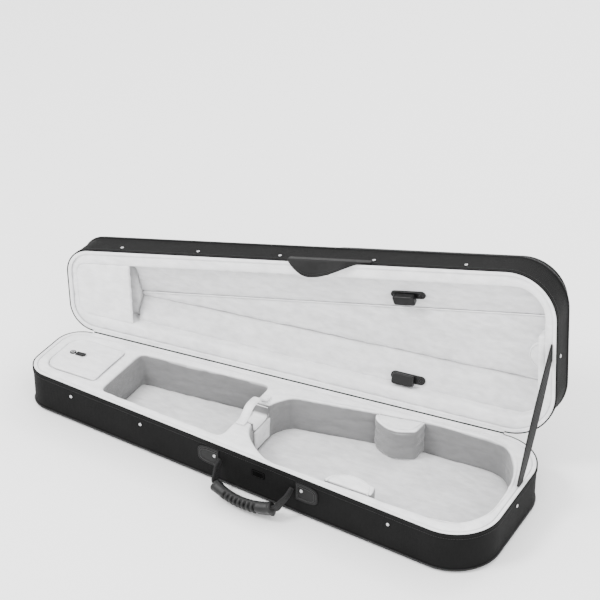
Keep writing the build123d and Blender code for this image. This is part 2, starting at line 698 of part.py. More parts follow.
def slope_plane(profile, x, share):
    """On a slope's surface at x, a share of the way up it: x along the case, z inwards."""
    corners = profile(x)
    low = Vector(x, *corners[0])
    high = Vector(x, *(corners[1] if profile is front_profile else corners[3]))
    ahead = profile(x + 1)
    along = Vector(x + 1, *ahead[0]) - low
    normal = along.cross(high - low).normalized()
    normal = normal if normal.Z < 0 else normal * -1
    origin = low + (high - low) * share
    return lid_plane(Plane(origin=origin + normal * CLIP_LIFT, x_dir=along, z_dir=normal))


def bow_holder(plane, which):
    """A plastic plate screwed to the lining, and the clip that turns on it."""
    with BuildPart() as plate:
        with BuildSketch(plane):
            SlotOverall(PLATE_LENGTH, PLATE_WIDTH)
        extrude(amount=PLATE_THICK)
        fillet(faces().sort_by(Axis(plane.origin, plane.z_dir))[-1].edges(), radius=PLATE_ROUND)
        with BuildSketch(plane.offset(SCREW_FLOOR)):
            with GridLocations(SCREW_SPREAD, 1, 2, 1):
                Circle(SCREW_SEAT)
        extrude(amount=PLATE_THICK, mode=Mode.SUBTRACT)
    save(plate, f"{which}_clip_plate")

    with BuildPart() as clip:
        with BuildSketch(plane.offset(PLATE_THICK + RIM_GAP)):
            with Locations(CLIP_AT):
                RectangleRounded(*CLIP_SIZE)
        extrude(amount=CLIP_THICK)
        fillet(faces().sort_by(Axis(plane.origin, plane.z_dir))[-1].edges(), radius=CLIP_ROUND)
    save(clip, f"{which}_bow_clip")


FRONT_CLIP = slope_plane(front_profile, CLIP_X, 0.55)
BACK_CLIP = slope_plane(back_profile, CLIP_X, 0.30)
bow_holder(FRONT_CLIP, "front")
bow_holder(BACK_CLIP, "back")

with BuildPart() as clip_screws:
    for plane in (FRONT_CLIP, BACK_CLIP):
        for side in (-1, 1):
            seat = plane.from_local_coords((side * SCREW_SPREAD / 2, 0, SCREW_FLOOR))
            spot = Plane(origin=seat, x_dir=plane.x_dir, z_dir=plane.z_dir)
            with BuildSketch(spot):
                Circle(SCREW_HEAD)
            extrude(amount=SCREW_FLOOR)
            with BuildSketch(spot.offset(SCREW_FLOOR - SLOT_DEPTH)):
                Rectangle(SLOT_LENGTH, SCREW_SLOT)
                Rectangle(SCREW_SLOT, SLOT_LENGTH)
            extrude(amount=SCREW_FLOOR, mode=Mode.SUBTRACT)
save(clip_screws, "clip_screws")

# ================================================================ closure flap
FLAP_X = 50.0
FLAP_HALF = 66.0
FLAP_DROP = 27.0
FLAP_HINGE_Z = LID_RIM - 2.2
FLAP_OUT = 4.6
FLAP_THICK = 2.0
STRIP_HEIGHT = 8.0  # of the flap's root, up the lid's wall
FLAP_FOLD = 72.0  # at rest the flap has fallen over the rim by this angle
STRIP_THICK = 1.6
LOOP_PATCH = (22.0, 10.0, 1.5)  # length, width and corner radius
LOOP_THICK = 0.9
HOOK_PATCH = (22.0, 11.0, 1.5)
HOOK_THICK = 1.0
HOOK_PLACE = (39.0, 43.0)  # along the wall and up it

with BuildPart() as flap_strip:
    with BuildSketch(lid_plane(wall_plane(FLAP_X, LID_RIM + BINDING_HEIGHT + 0.1))):
        Rectangle(2 * FLAP_HALF, STRIP_HEIGHT, align=(Align.CENTER, Align.MIN))
    extrude(amount=STRIP_THICK)
    with BuildSketch(lid_plane(wall_plane(FLAP_X, FLAP_HINGE_Z + 1.4, FLAP_OUT - 2.6))):
        Rectangle(2 * FLAP_HALF, 9, align=(Align.CENTER, Align.MIN))
    extrude(amount=STRIP_THICK)
save(flap_strip, "flap_strip")

FLAP_WALL = wall_plane(FLAP_X, FLAP_HINGE_Z, FLAP_OUT)
FLAP_TURN = Axis(FLAP_WALL.origin, FLAP_WALL.x_dir)
flap_down = FLAP_WALL.z_dir.rotate(FLAP_TURN, FLAP_FOLD)
FLAP = lid_plane(Plane(origin=FLAP_WALL.origin, x_dir=FLAP_WALL.x_dir, z_dir=flap_down))

with BuildPart() as closure_flap:
    with BuildSketch(FLAP.offset(-FLAP_THICK / 2)):
        with BuildLine():
            Line((-FLAP_HALF, 1), (FLAP_HALF, 1))
            Line((FLAP_HALF, 1), (FLAP_HALF, 0))
            Spline(
                (FLAP_HALF, 0),
                (38, -9),
                (-8, -23),
                (-30, -FLAP_DROP),
                (-53, -18),
                (-FLAP_HALF, 0),
                tangents=[(-1, -0.2), (-0.3, 1)],
            )
            Line((-FLAP_HALF, 0), (-FLAP_HALF, 1))
        make_face()
    extrude(amount=FLAP_THICK)
save(closure_flap, "closure_flap")

with BuildPart() as flap_patch:
    with BuildSketch(FLAP.offset(-FLAP_THICK / 2 - LOOP_THICK)):
        with Locations((-10, -17)):
            RectangleRounded(*LOOP_PATCH)
    extrude(amount=LOOP_THICK)
save(flap_patch, "flap_patch")

with BuildPart() as closure_patch:
    with BuildSketch(wall_plane(*HOOK_PLACE)):
        RectangleRounded(*HOOK_PATCH)
    extrude(amount=HOOK_THICK)
save(closure_patch, "closure_patch")

# ================================================================ music pocket
POCKET_X0 = 15.0
POCKET_WALL = 4.0  # folded and padded fabric round the empty pocket
POCKET_LAYERS = (  # name, height, how far in from the case's side
    ("pocket_lower_gusset", 6.5, 5.0),
    ("pocket_zip_tape", 5.0, 7.0),
    ("pocket_upper_gusset", 6.0, 8.5),
    ("pocket_panel", 2.4, 10.0),
)


def pocket_plan(inset):
    left = POCKET_X0 + inset - POCKET_LAYERS[0][2]
    right = LENGTH / 2 - inset
    low = half_width(left) - inset * SIDE_RUN
    high = half_width(right) - inset * SIDE_RUN
    Polygon((left, -low), (right, -high), (right, high), (left, low), align=None)
    fillet(vertices().group_by(Axis.X)[-1], radius=CORNER_WIDE - inset)
    fillet(vertices().group_by(Axis.X)[0], radius=POCKET_CORNER - inset)


ZIP_Z = LID_TOP + POCKET_LAYERS[0][1]
PANEL_Z = LID_TOP + sum(layer[1] for layer in POCKET_LAYERS[:-1])
PANEL_ROUND = 1.6
POCKET_CORNER = 32.0  # its two corners across the lid
layer_z = LID_TOP
for name, height, inset in POCKET_LAYERS:
    with BuildPart() as layer:
        with BuildSketch(LID.offset(layer_z)):
            pocket_plan(inset)
            if name != "pocket_panel":
                with BuildSketch(mode=Mode.SUBTRACT):
                    pocket_plan(inset + POCKET_WALL)
        extrude(amount=height)
        if name == "pocket_panel":
            fillet(faces().sort_by(Axis(LID.origin, LID.z_dir))[-1].edges(), radius=PANEL_ROUND)
    save(layer, name)
    layer_z += height

with BuildPart() as pocket_piping:
    with BuildSketch(LID.offset(PANEL_Z)):
        pocket_plan(POCKET_LAYERS[-1][2] - 2.0)
        with BuildSketch(mode=Mode.SUBTRACT):
            pocket_plan(POCKET_LAYERS[-1][2])
    extrude(amount=2.2)
save(pocket_piping, "pocket_piping")

SLIDER_GAP = 0.3
SLIDER_WIDTH, SLIDER_HEIGHT, SLIDER_ROUND = 9.0, 4.4, 1.5
PULL_SIZE = (26.0, 6.0, 2.0)  # length, width and corner radius
PULL_THICK, PULL_EYE, PULL_EYE_X = 1.4, 1.6, 22.0
PULL_START = 0.8
PULL_LIFT = 2.5  # of its middle line, above the zip's lower edge
ZIP_FACE = POCKET_X0 + POCKET_LAYERS[1][2] - POCKET_LAYERS[0][2]
SLIDER_Y = 0.0
SLIDER_DEPTH = 4.2
with BuildPart() as zip_slider:
    with BuildSketch(LID.offset(ZIP_Z + SLIDER_GAP)):
        with Locations((ZIP_FACE - SLIDER_GAP - SLIDER_DEPTH / 2, SLIDER_Y)):
            Rectangle(SLIDER_DEPTH, SLIDER_WIDTH)
        fillet(vertices().group_by(Axis.X)[0], radius=SLIDER_ROUND)
    extrude(amount=SLIDER_HEIGHT)
save(zip_slider, "zip_slider")

PULL_X = ZIP_FACE - SLIDER_DEPTH - 2 * SLIDER_GAP
with BuildPart() as zip_pull:
    pull_face = Plane(origin=(PULL_X, SLIDER_Y, ZIP_Z + PULL_LIFT), x_dir=(0, 1, 0), z_dir=(-1, 0, 0))
    with BuildSketch(lid_plane(pull_face)):
        with Locations((PULL_START, 0)):
            RectangleRounded(*PULL_SIZE, align=(Align.MIN, Align.CENTER))
        with Locations((PULL_EYE_X, 0)):
            Circle(PULL_EYE, mode=Mode.SUBTRACT)
    extrude(amount=PULL_THICK)
save(zip_pull, "zip_pull")

# ================================================================ stay strap
STAY_X = LENGTH / 2 - 7.6
STAY_THICK = 1.6
STAY_WIDTH = 20.0
STAY_SIDE = 21.0  # of its middle from the case's middle, at each end
STAY_SHORT = (6.0, 10.0)  # across and up, short of the lid's padding
STAY_LOW = Vector(STAY_X, STAY_SIDE, INSERT_TOP)
STAY_HIGH = opened((STAY_X, -STAY_SIDE, LID_PAD))

with BuildPart() as stay_strap:
    run = STAY_HIGH - STAY_LOW
    strap_face = Plane(origin=STAY_LOW, x_dir=(0, 1, 0), z_dir=(-1, 0, 0))
    with BuildSketch(strap_face.offset(-STAY_THICK / 2)):
        with BuildLine():
            side = STAY_WIDTH / 2
            rise = run.Z - STAY_SHORT[1]
            far = run.Y - STAY_SHORT[0]
            Polyline((-side, 0), (side, 0), (far + side, -rise), (far - side, -rise), close=True)
        make_face()
    extrude(amount=STAY_THICK)
save(stay_strap, "stay_strap")
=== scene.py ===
"""Looks of a triangular violin case, standing open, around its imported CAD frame."""

import json
import math

import bmesh
import bpy
import numpy as np
from mathutils import Matrix, Vector, noise


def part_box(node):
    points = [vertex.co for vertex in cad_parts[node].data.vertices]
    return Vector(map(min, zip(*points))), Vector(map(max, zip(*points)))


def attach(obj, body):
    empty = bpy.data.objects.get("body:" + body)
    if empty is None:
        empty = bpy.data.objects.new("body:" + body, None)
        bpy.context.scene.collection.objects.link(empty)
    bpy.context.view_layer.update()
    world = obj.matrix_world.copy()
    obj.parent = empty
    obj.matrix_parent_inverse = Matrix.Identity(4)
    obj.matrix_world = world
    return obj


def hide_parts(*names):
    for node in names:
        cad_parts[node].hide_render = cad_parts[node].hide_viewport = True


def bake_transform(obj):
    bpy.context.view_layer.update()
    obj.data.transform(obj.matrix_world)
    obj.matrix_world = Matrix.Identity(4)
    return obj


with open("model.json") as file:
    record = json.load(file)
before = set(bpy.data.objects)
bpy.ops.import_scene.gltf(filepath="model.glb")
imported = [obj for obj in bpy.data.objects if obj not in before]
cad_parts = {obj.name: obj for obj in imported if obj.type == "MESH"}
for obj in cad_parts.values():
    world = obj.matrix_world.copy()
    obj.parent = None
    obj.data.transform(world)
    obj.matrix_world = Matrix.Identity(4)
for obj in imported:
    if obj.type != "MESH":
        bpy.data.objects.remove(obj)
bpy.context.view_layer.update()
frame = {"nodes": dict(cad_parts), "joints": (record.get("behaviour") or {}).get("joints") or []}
MM = 0.001

# ---------------------------------------------------------------- sizes shared with the CAD
JOINTS = {joint["name"]: joint for joint in frame["joints"]}
LENGTH = 2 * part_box("base_side_cover")[1].x
HALF_WIDE, HALF_NARROW = 133.5 * MM, 65 * MM  # half widths at the outline's sharp corners
CORNER_WIDE, CORNER_NARROW = 70 * MM, 42 * MM
SHELL = 5.2 * MM  # fabric and plywood
BASE_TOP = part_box("base_rim_binding")[1].z
BINDING = BASE_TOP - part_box("base_rim_binding")[0].z
LID_RIM = BASE_TOP + 0.3 * MM
LID_TOP = LID_RIM + 61 * MM
INSERT_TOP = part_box("insert_violin_block")[1].z
LID_PAD = INSERT_TOP + 0.4 * MM
EDGE_ROUND = 5 * MM
SIDE_SLOPE = (HALF_WIDE - HALF_NARROW) / LENGTH
RIVET_X = [x * MM for x in (-303, -172, -36, 114, 255)]
RIVET_BASE_Z, RIVET_LID_Z = 47 * MM, 83 * MM

HINGE = JOINTS["lid_hinge"]
HINGE_POINT = Vector(HINGE["pos_m"])
HINGE_AXIS = Vector(HINGE["axis"])
OPEN = (
    Matrix.Translation(HINGE_POINT)
    @ Matrix.Rotation(-math.radians(HINGE["range_deg"][1]), 4, HINGE_AXIS)
    @ Matrix.Translation(-HINGE_POINT)
)
LID_TURN = OPEN.to_3x3()
AS_DRAWN = Matrix.Identity(4)
UP = Vector((0, 0, 1))
ALONG_X = Vector((1, 0, 0))
WALL_OUT = Vector((-SIDE_SLOPE, -1, 0)).normalized()  # out of the front wall
BACK_OUT = Vector((-SIDE_SLOPE, 1, 0)).normalized()


def half_width(x):
    return HALF_NARROW + SIDE_SLOPE * (x + LENGTH / 2)


# ---------------------------------------------------------------- materials
def material(name, colour, roughness, **settings):
    """A Principled material; settings are its sockets by name. Returns it with its node tree."""
    made = bpy.data.materials.new(name)
    made.use_nodes = True
    shader = made.node_tree.nodes["Principled BSDF"]
    shader.inputs["Base Color"].default_value = (*colour, 1)
    shader.inputs["Roughness"].default_value = roughness
    for socket, value in settings.items():
        shader.inputs[socket.replace("_", " ")].default_value = value
    return made, made.node_tree, shader


def node(tree, kind, **inputs):
    made = tree.nodes.new(kind)
    for socket, value in inputs.items():
        made.inputs[socket.replace("_", " ")].default_value = value
    return made


def coordinates(tree, stretch=(1, 1, 1)):
    """The piece's own coordinates, in metres, stretched."""
    source = tree.nodes.new("ShaderNodeTexCoord")
    mapping = node(tree, "ShaderNodeMapping", Scale=stretch)
    tree.links.new(source.outputs["Object"], mapping.inputs["Vector"])
    return mapping.outputs["Vector"]


def noise_field(tree, scale, detail=3.0, stretch=(1, 1, 1), distortion=0.0):
    field = node(tree, "ShaderNodeTexNoise", Scale=scale, Detail=detail, Distortion=distortion)
    tree.links.new(coordinates(tree, stretch), field.inputs["Vector"])
    return field.outputs["Fac"]


def bands(tree, pitch, direction):
    """Ridges a pitch apart along one axis."""
    field = node(tree, "ShaderNodeTexWave", Scale=math.pi / 10 / pitch)
    field.bands_direction = direction
    tree.links.new(coordinates(tree), field.inputs["Vector"])
    return field.outputs["Fac"]


def maths(tree, operation, first, second):
    made = tree.nodes.new("ShaderNodeMath")
    made.operation = operation
    for socket, value in zip(made.inputs, (first, second)):
        if isinstance(value, (int, float)):
            socket.default_value = value
        else:
            tree.links.new(value, socket)
    return made.outputs[0]


def weighted(tree, first, first_share, second, second_share):
    return maths(tree, "ADD", maths(tree, "MULTIPLY", first, first_share),
                 maths(tree, "MULTIPLY", second, second_share))


def blend_colours(tree, shader, field, low, high, start=0.35, end=0.65):
    """Colour between low and high as the field goes from start to end."""
    ramp = tree.nodes.new("ShaderNodeValToRGB")
    ramp.color_ramp.elements[0].position = start
    ramp.color_ramp.elements[1].position = end
    ramp.color_ramp.elements[0].color = (*low, 1)
    ramp.color_ramp.elements[1].color = (*high, 1)
    tree.links.new(field, ramp.inputs["Fac"])
    tree.links.new(ramp.outputs["Color"], shader.inputs["Base Color"])


def vary_roughness(tree, shader, field, low, high):
    spread = tree.nodes.new("ShaderNodeMapRange")
    spread.inputs["To Min"].default_value = low
    spread.inputs["To Max"].default_value = high
    tree.links.new(field, spread.inputs["Value"])
    tree.links.new(spread.outputs["Result"], shader.inputs["Roughness"])


def bump(tree, shader, *layers):
    """Layers are (field, height in metres); they are stacked on the shader's normal."""
    normal = None
    for field, height in layers:
        made = node(tree, "ShaderNodeBump", Distance=height, Strength=1.0)
        tree.links.new(field, made.inputs["Height"])
        if normal:
            tree.links.new(normal, made.inputs["Normal"])
        normal = made.outputs["Normal"]
    tree.links.new(normal, shader.inputs["Normal"])


def weave(tree, pitch):
    """Threads that cross: ridges along each axis, of which any face shows two."""
    crossing = maths(tree, "MULTIPLY", bands(tree, pitch, "X"), bands(tree, pitch, "Z"))
    return maths(tree, "ADD", crossing, bands(tree, pitch, "Y"))


def grey(value):
    return (value, value, value * 1.01)


def canvas_material(name="canvas", low=0.0028, high=0.0068, pitch=0.62 * MM):
    made, tree, shader = material(name, grey(low), 0.8, Sheen_Weight=0.008, Sheen_Roughness=0.4,
                                  Specular_IOR_Level=0.08)
    threads = weave(tree, pitch)
    worn = noise_field(tree, 22, 5)
    speckle = noise_field(tree, 900, 2)
    field = weighted(tree, worn, 0.55, speckle, 0.45)
    blend_colours(tree, shader, field, grey(low), grey(high))
    vary_roughness(tree, shader, worn, 0.62, 0.88)
    bump(tree, shader, (threads, 0.06 * MM), (noise_field(tree, 60, 4), 0.5 * MM))
    return made


def plush_material(name, low, high, nap=(1, 1, 1), wall_shade_share=None):
    """Short pile, brushed in patches; its upright faces can be darkened with painted shade."""
    made, tree, shader = material(name, grey(high), 0.95, Sheen_Weight=0.35, Sheen_Roughness=0.45)
    patches = noise_field(tree, 34, 6, nap, 0.6)
    pile = noise_field(tree, 1300, 2)
    strokes = noise_field(tree, 130, 3, (0.45, 1.0, 1.0), 0.3)
    field = weighted(tree, patches, 0.5, strokes, 0.5)
    blend_colours(tree, shader, field, grey(low), grey(high), 0.36, 0.62)
    # Painted shade on the upright faces.
    if wall_shade_share:
        paint_wall_shade(tree, shader, wall_shade_share)
    bump(tree, shader, (pile, 0.35 * MM), (strokes, 0.5 * MM), (patches, 0.9 * MM))
    return made


def paint_wall_shade(tree, shader, share):
    """Painted shade: upright faces, found by the object normal's height, are darker than the tops, down to
    share.
    """
    colour = shader.inputs["Base Color"].links[0].from_socket
    source = tree.nodes.new("ShaderNodeTexCoord")
    parts = tree.nodes.new("ShaderNodeSeparateXYZ")
    tree.links.new(source.outputs["Normal"], parts.inputs["Vector"])
    upright = tree.nodes.new("ShaderNodeValToRGB")
    upright.color_ramp.elements[0].position, upright.color_ramp.elements[1].position = 0.25, 0.8
    upright.color_ramp.elements[0].color = (share, share, share, 1)
    tree.links.new(maths(tree, "ABSOLUTE", parts.outputs["Z"], 0.0), upright.inputs["Fac"])
    shade = tree.nodes.new("ShaderNodeVectorMath")
    shade.operation = "MULTIPLY"
    tree.links.new(colour, shade.inputs[0])
    tree.links.new(upright.outputs["Color"], shade.inputs[1])
    tree.links.new(shade.outputs["Vector"], shader.inputs["Base Color"])


def leather_material(name, value, roughness, grain=1100):
    made, tree, shader = material(name, grey(value), roughness, Coat_Weight=0.03, Coat_Roughness=0.4,
                                  Specular_IOR_Level=0.2)
    pebbles = node(tree, "ShaderNodeTexVoronoi", Scale=grain)
    tree.links.new(coordinates(tree), pebbles.inputs["Vector"])
    creases = noise_field(tree, 90, 5)
    blend_colours(tree, shader, creases, grey(value * 0.7), grey(value * 1.5))
    vary_roughness(tree, shader, creases, roughness - 0.08, roughness + 0.16)
    bump(tree, shader, (pebbles.outputs["Distance"], 0.12 * MM), (creases, 0.25 * MM))
    return made


def webbing_material(name, value, pitch=1.3 * MM):
    made, tree, shader = material(name, grey(value), 0.6, Sheen_Weight=0.02, Specular_IOR_Level=0.2)
    ribs = maths(tree, "ADD", bands(tree, pitch, "DIAGONAL"), bands(tree, pitch * 0.6, "X"))
    fuzz = noise_field(tree, 700, 2)
    blend_colours(tree, shader, maths(tree, "MULTIPLY", maths(tree, "ADD", ribs, fuzz), 0.33),
                  grey(value * 0.55), grey(value * 1.9))
    bump(tree, shader, (ribs, 0.25 * MM), (fuzz, 0.1 * MM))
    return made


def moulded_material(name, value, roughness):
    made, tree, shader = material(name, grey(value), roughness, Specular_IOR_Level=0.26)
    cloudy = noise_field(tree, 120, 4)
    blend_colours(tree, shader, cloudy, grey(value * 0.8), grey(value * 1.35))
    vary_roughness(tree, shader, noise_field(tree, 420, 3), roughness - 0.06, roughness + 0.14)
    bump(tree, shader, (noise_field(tree, 2400, 2), 0.04 * MM))
    return made


def metal_material(name, value=0.78):
    made, tree, shader = material(name, grey(value), 0.22, Metallic=1.0)
    scuffs = noise_field(tree, 900, 4, (1, 6, 1))
    blend_colours(tree, shader, scuffs, grey(value * 0.72), grey(value))
    vary_roughness(tree, shader, scuffs, 0.14, 0.36)
    bump(tree, shader, (scuffs, 0.02 * MM))
    return made


def pile_material(name, value):
    """Hook and loop: a dense matt pile."""
    made, tree, shader = material(name, grey(value), 1.0, Sheen_Weight=0.0, Specular_IOR_Level=0.04)
    loops = noise_field(tree, 2200, 3)
    blend_colours(tree, shader, loops, grey(value * 0.4), grey(value * 1.8))
    bump(tree, shader, (loops, 0.5 * MM))
    return made


def plywood_material():
    made, tree, shader = material("plywood", (0.5, 0.36, 0.22), 0.7)
    grain = noise_field(tree, 60, 6, (0.15, 1, 1), 1.2)
    blend_colours(tree, shader, grain, (0.34, 0.23, 0.13), (0.58, 0.43, 0.27))
    bump(tree, shader, (grain, 0.1 * MM))
    return made


CANVAS = canvas_material()
BINDING_TAPE = canvas_material("binding_tape", 0.003, 0.008, 0.6 * MM)
ZIP_FABRIC = canvas_material("zip_fabric", 0.004, 0.010, 0.5 * MM)
PLUSH = plush_material("plush", 0.70, 0.84)
# A darker copy of the plush for the pit floors, the lid's slopes and middle and other hollows: painted shade.
PLUSH_RECESS_SHADE = plush_material("plush_recess_shade", 0.56, 0.72, (0.5, 1, 1.6))
# Plush for the base's blocks and the cradle, with painted shade on its upright faces.
PLUSH_WALL_SHADED = plush_material("plush_wall_shaded", 0.72, 0.86, (1, 1, 2.2), wall_shade_share=0.22)
PIPING = leather_material("piping_leather", 0.008, 0.34, 2000)
LEATHER = leather_material("tab_leather", 0.0036, 0.48)
WEBBING = webbing_material("strap_webbing", 0.008)
GRIP = moulded_material("grip_rubber", 0.0055, 0.42)
CLIP = moulded_material("clip_plastic", 0.0018, 0.30)
BLACK_SCREW = moulded_material("black_screw", 0.006, 0.22)
NICKEL = metal_material("nickel", 0.52)
HOOKS = pile_material("hook_and_loop", 0.0012)
WHITE_HOOKS = pile_material("white_hook_and_loop", 0.55)
THREAD = webbing_material("dark_thread", 0.022, 0.4 * MM)
TAB_THREAD = webbing_material("tab_thread", 0.05, 0.4 * MM)
STAY_WEBBING = webbing_material("stay_webbing", 0.003)
PLUSH_SHADE = plush_material("plush_shade", 0.34, 0.46)
WHITE_THREAD = webbing_material("white_thread", 0.5, 0.4 * MM)
PLYWOOD = plywood_material()
ZIP_TEETH = moulded_material("zip_teeth", 0.03, 0.3)


# ---------------------------------------------------------------- meshes
def piece(name, vertices, faces, skin, body, slot, place=AS_DRAWN, replaces=(), smooth=True):
    """A mesh riding on a body; place carries it from where it is drawn to where it is at rest."""
    mesh = bpy.data.meshes.new(name)
    mesh.from_pydata([tuple(place @ Vector(v)) for v in vertices], [], faces)
    tidy = bmesh.new()
    tidy.from_mesh(mesh)
    bmesh.ops.recalc_face_normals(tidy, faces=tidy.faces)
    tidy.to_mesh(mesh)
    tidy.free()
    mesh.shade_smooth() if smooth else mesh.shade_flat()
    return settle(name, mesh, skin, body, replaces)


def add_object(name, data):
    made = bpy.data.objects.new(name, data)
    bpy.context.scene.collection.objects.link(made)
    return made


def settle(name, mesh, skin, body, replaces=()):
    made = add_object(name, mesh)
    mesh.materials.clear()
    mesh.materials.append(skin)
    if body:
        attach(made, body)
    if replaces:
        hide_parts(*replaces)
    return made


def tube_faces(rings, count, closed_along):
    """Quads between successive rings of count points."""
    faces = []
    for ring in range(rings if closed_along else rings - 1):
        ahead = (ring + 1) % rings
        for side in range(count):
            beside = (side + 1) % count
            faces.append((ring * count + side, ahead * count + side,
                          ahead * count + beside, ring * count + beside))
    return faces


def capped_tube(rings, count):
    """The faces of an open tube, with both its ends."""
    last = (rings - 1) * count
    return tube_faces(rings, count, False) + [tuple(range(count)), tuple(range(last, last + count))]


def leaf_faces(columns, count):
    """A thin leaf: two grids of columns + 1 rows of count points, joined round their border."""
    per_face = (columns + 1) * count
    faces = []
    for i in range(columns):
        for j in range(count - 1):
            a = i * count + j
            faces += [(a, a + 1, a + count + 1, a + count),
                      tuple(per_face + k for k in (a, a + count, a + count + 1, a + 1))]
    border = ([i * count for i in range(columns + 1)] + [columns * count + j for j in range(1, count)]
              + [i * count + count - 1 for i in range(columns - 1, -1, -1)] + list(range(count - 2, 0, -1)))
    return faces + [(a, b, per_face + b, per_face + a) for a, b in zip(border, border[1:] + border[:1])]


def sweep(name, path, section, skin, body, slot, closed=True, **extra):
    """A section of (u, v) points carried along path, a list of (point, u axis, v axis)."""
    vertices = [point + across * u + up * v for point, across, up in path for u, v in section]
    faces = tube_faces(len(path), len(section), True) if closed else capped_tube(len(path), len(section))
    return piece(name, vertices, faces, skin, body, slot, **extra)


def rounded_outline(corners):
    """Points round a shape with straight sides and round corners, with outward normals.

    Corners are (x, y, radius), anticlockwise."""
    arcs = []
    for index, (x, y, radius) in enumerate(corners):
        here = Vector((x, y))
        before = (Vector(corners[index - 1][:2]) - here).normalized()
        after = (Vector(corners[(index + 1) % len(corners)][:2]) - here).normalized()
        half_angle = before.angle(after) / 2
        centre = here + (before + after).normalized() * (radius / math.sin(half_angle))
        first = Vector((-before.y, before.x))
        turn = math.pi - 2 * half_angle
        steps = round(turn * radius / (5 * MM))
        for step in range(steps + 1):
            normal = Matrix.Rotation(turn * step / steps, 2) @ first
            arcs.append((centre + normal * radius, normal))
    points = []
    for (start, normal), (finish, _) in zip(arcs, arcs[1:] + arcs[:1]):
        points.append((start, normal))
        gap = (finish - start).length
        if gap > 12 * MM:
            steps = round(gap / (9 * MM))
            points += [(start.lerp(finish, step / steps), normal) for step in range(1, steps)]
    return points


OUTLINE = rounded_outline([
    (-LENGTH / 2, -HALF_NARROW, CORNER_NARROW), (LENGTH / 2, -HALF_WIDE, CORNER_WIDE),
    (LENGTH / 2, HALF_WIDE, CORNER_WIDE), (-LENGTH / 2, HALF_NARROW, CORNER_NARROW),
])


def raised(outline, z, out, drawn):
    """A flat outline at height z as a sweep's path: u points outwards and v up, both turned as drawn."""
    turn = drawn.to_3x3()
    return [(drawn @ Vector((*(point + normal * out), z)), turn @ Vector((*normal, 0)), turn @ UP)
            for point, normal in outline]


def round_the_case(z, out=0.0, drawn=AS_DRAWN):
    return raised(OUTLINE, z, out, drawn)


def wall_place(x, z, out=0.0):
    """A place on the front wall: x along it, y up, z outwards."""
    along = Vector((1, -SIDE_SLOPE, 0)).normalized()
    origin = Vector((x, -half_width(x), z)) + WALL_OUT * out
    return Matrix.Translation(origin) @ Matrix((along, UP, WALL_OUT)).transposed().to_4x4()


def circle(radius, count):
    return [(radius * math.cos(a), radius * math.sin(a))
            for a in (2 * math.pi * k / count for k in range(count))]


def rounded_box_section(width, height, radius, steps=4):
    """A rounded rectangle's outline, anticlockwise, centred."""
    points = []
    for quarter, (sx, sy) in enumerate(((1, 1), (-1, 1), (-1, -1), (1, -1))):
        for step in range(steps + 1):
            angle = math.pi / 2 * (quarter + step / steps)
            points.append((sx * (width / 2 - radius) + radius * math.cos(angle),
                           sy * (height / 2 - radius) + radius * math.sin(angle)))
    return points


def evenly(points, pitch, closed=False):
    """Points and directions a pitch apart along a line of points."""
    line = list(points) + ([points[0]] if closed else [])
    lengths = [(b - a).length for a, b in zip(line, line[1:])]
    count = max(2, round(sum(lengths) / pitch))
    spacing = sum(lengths) / count
    found, travelled, index = [], 0.0, 0
    for step in range(count if closed else count + 1):
        target = min(step * spacing, sum(lengths) - 1e-9)
        while travelled + lengths[index] < target:
            travelled += lengths[index]
            index += 1
        a, b = line[index], line[index + 1]
        found.append((a.lerp(b, (target - travelled) / lengths[index]), (b - a).normalized()))
    return found


STITCH_SIDES = 6
STITCH_PROFILE = (  # (share of the pitch along, radii out, share of the radius), end to end
    (-0.36, -0.7, 0.5), (-0.2, 0.3, 1.0), (0.0, 0.6, 1.0), (0.2, 0.3, 1.0), (0.36, -0.7, 0.5)
)


def stitches(name, points, outward, body, skin=THREAD, slot="webbing", closed=False,
             pitch=3.6 * MM, radius=0.32 * MM):
    """A row of short rounded threads, each bowed out of the cloth. outward may depend on the spot."""
    vertices, faces = [], []
    for middle, along in evenly(points, pitch, closed):
        out = outward if isinstance(outward, Vector) else outward(middle)
        side = along.cross(out).normalized()
        first = len(vertices)
        for travel, lift, size in STITCH_PROFILE:
            centre = middle + along * (travel * pitch) + out * (lift * radius)
            vertices += [centre + side * (radius * size * c) + out * (radius * size * s)
                         for c, s in circle(1, STITCH_SIDES)]
        faces += [tuple(first + k for k in face) for face in capped_tube(len(STITCH_PROFILE), STITCH_SIDES)]
    return piece(name, vertices, faces, skin, body, slot)


# ---------------------------------------------------------------- padded pieces
CLOTH_FRAMES, PRESSURE = 12, 4.0
LID_UP = tuple(LID_TURN @ UP)


def neighbours_average(mesh, places, rounds, share):
    """Smooths places over the mesh's edges."""
    edges = np.empty(len(mesh.edges) * 2, int)
    mesh.edges.foreach_get("vertices", edges)
    first, second = edges[::2], edges[1::2]
    degree = np.bincount(edges, minlength=len(places)).astype(float)[:, None]
    for _ in range(rounds):
        total = np.zeros_like(places)
        np.add.at(total, first, places[second])
        np.add.at(total, second, places[first])
        places = places * (1 - share) + total / degree * share
    return places


def vertex_array(mesh, what="co"):
    values = np.empty(len(mesh.vertices) * 3)
    if what == "co":
        mesh.vertices.foreach_get("co", values)
    else:
        mesh.vertex_normals.foreach_get("vector", values)
    return values.reshape(-1, 3)


def set_vertices(mesh, places):
    mesh.vertices.foreach_set("co", places.ravel())
    mesh.update()


def apply_modifiers(made):
    evaluated = made.evaluated_get(bpy.context.evaluated_depsgraph_get())
    mesh = bpy.data.meshes.new_from_object(evaluated)
    made.modifiers.clear()
    made.data = mesh
    return mesh


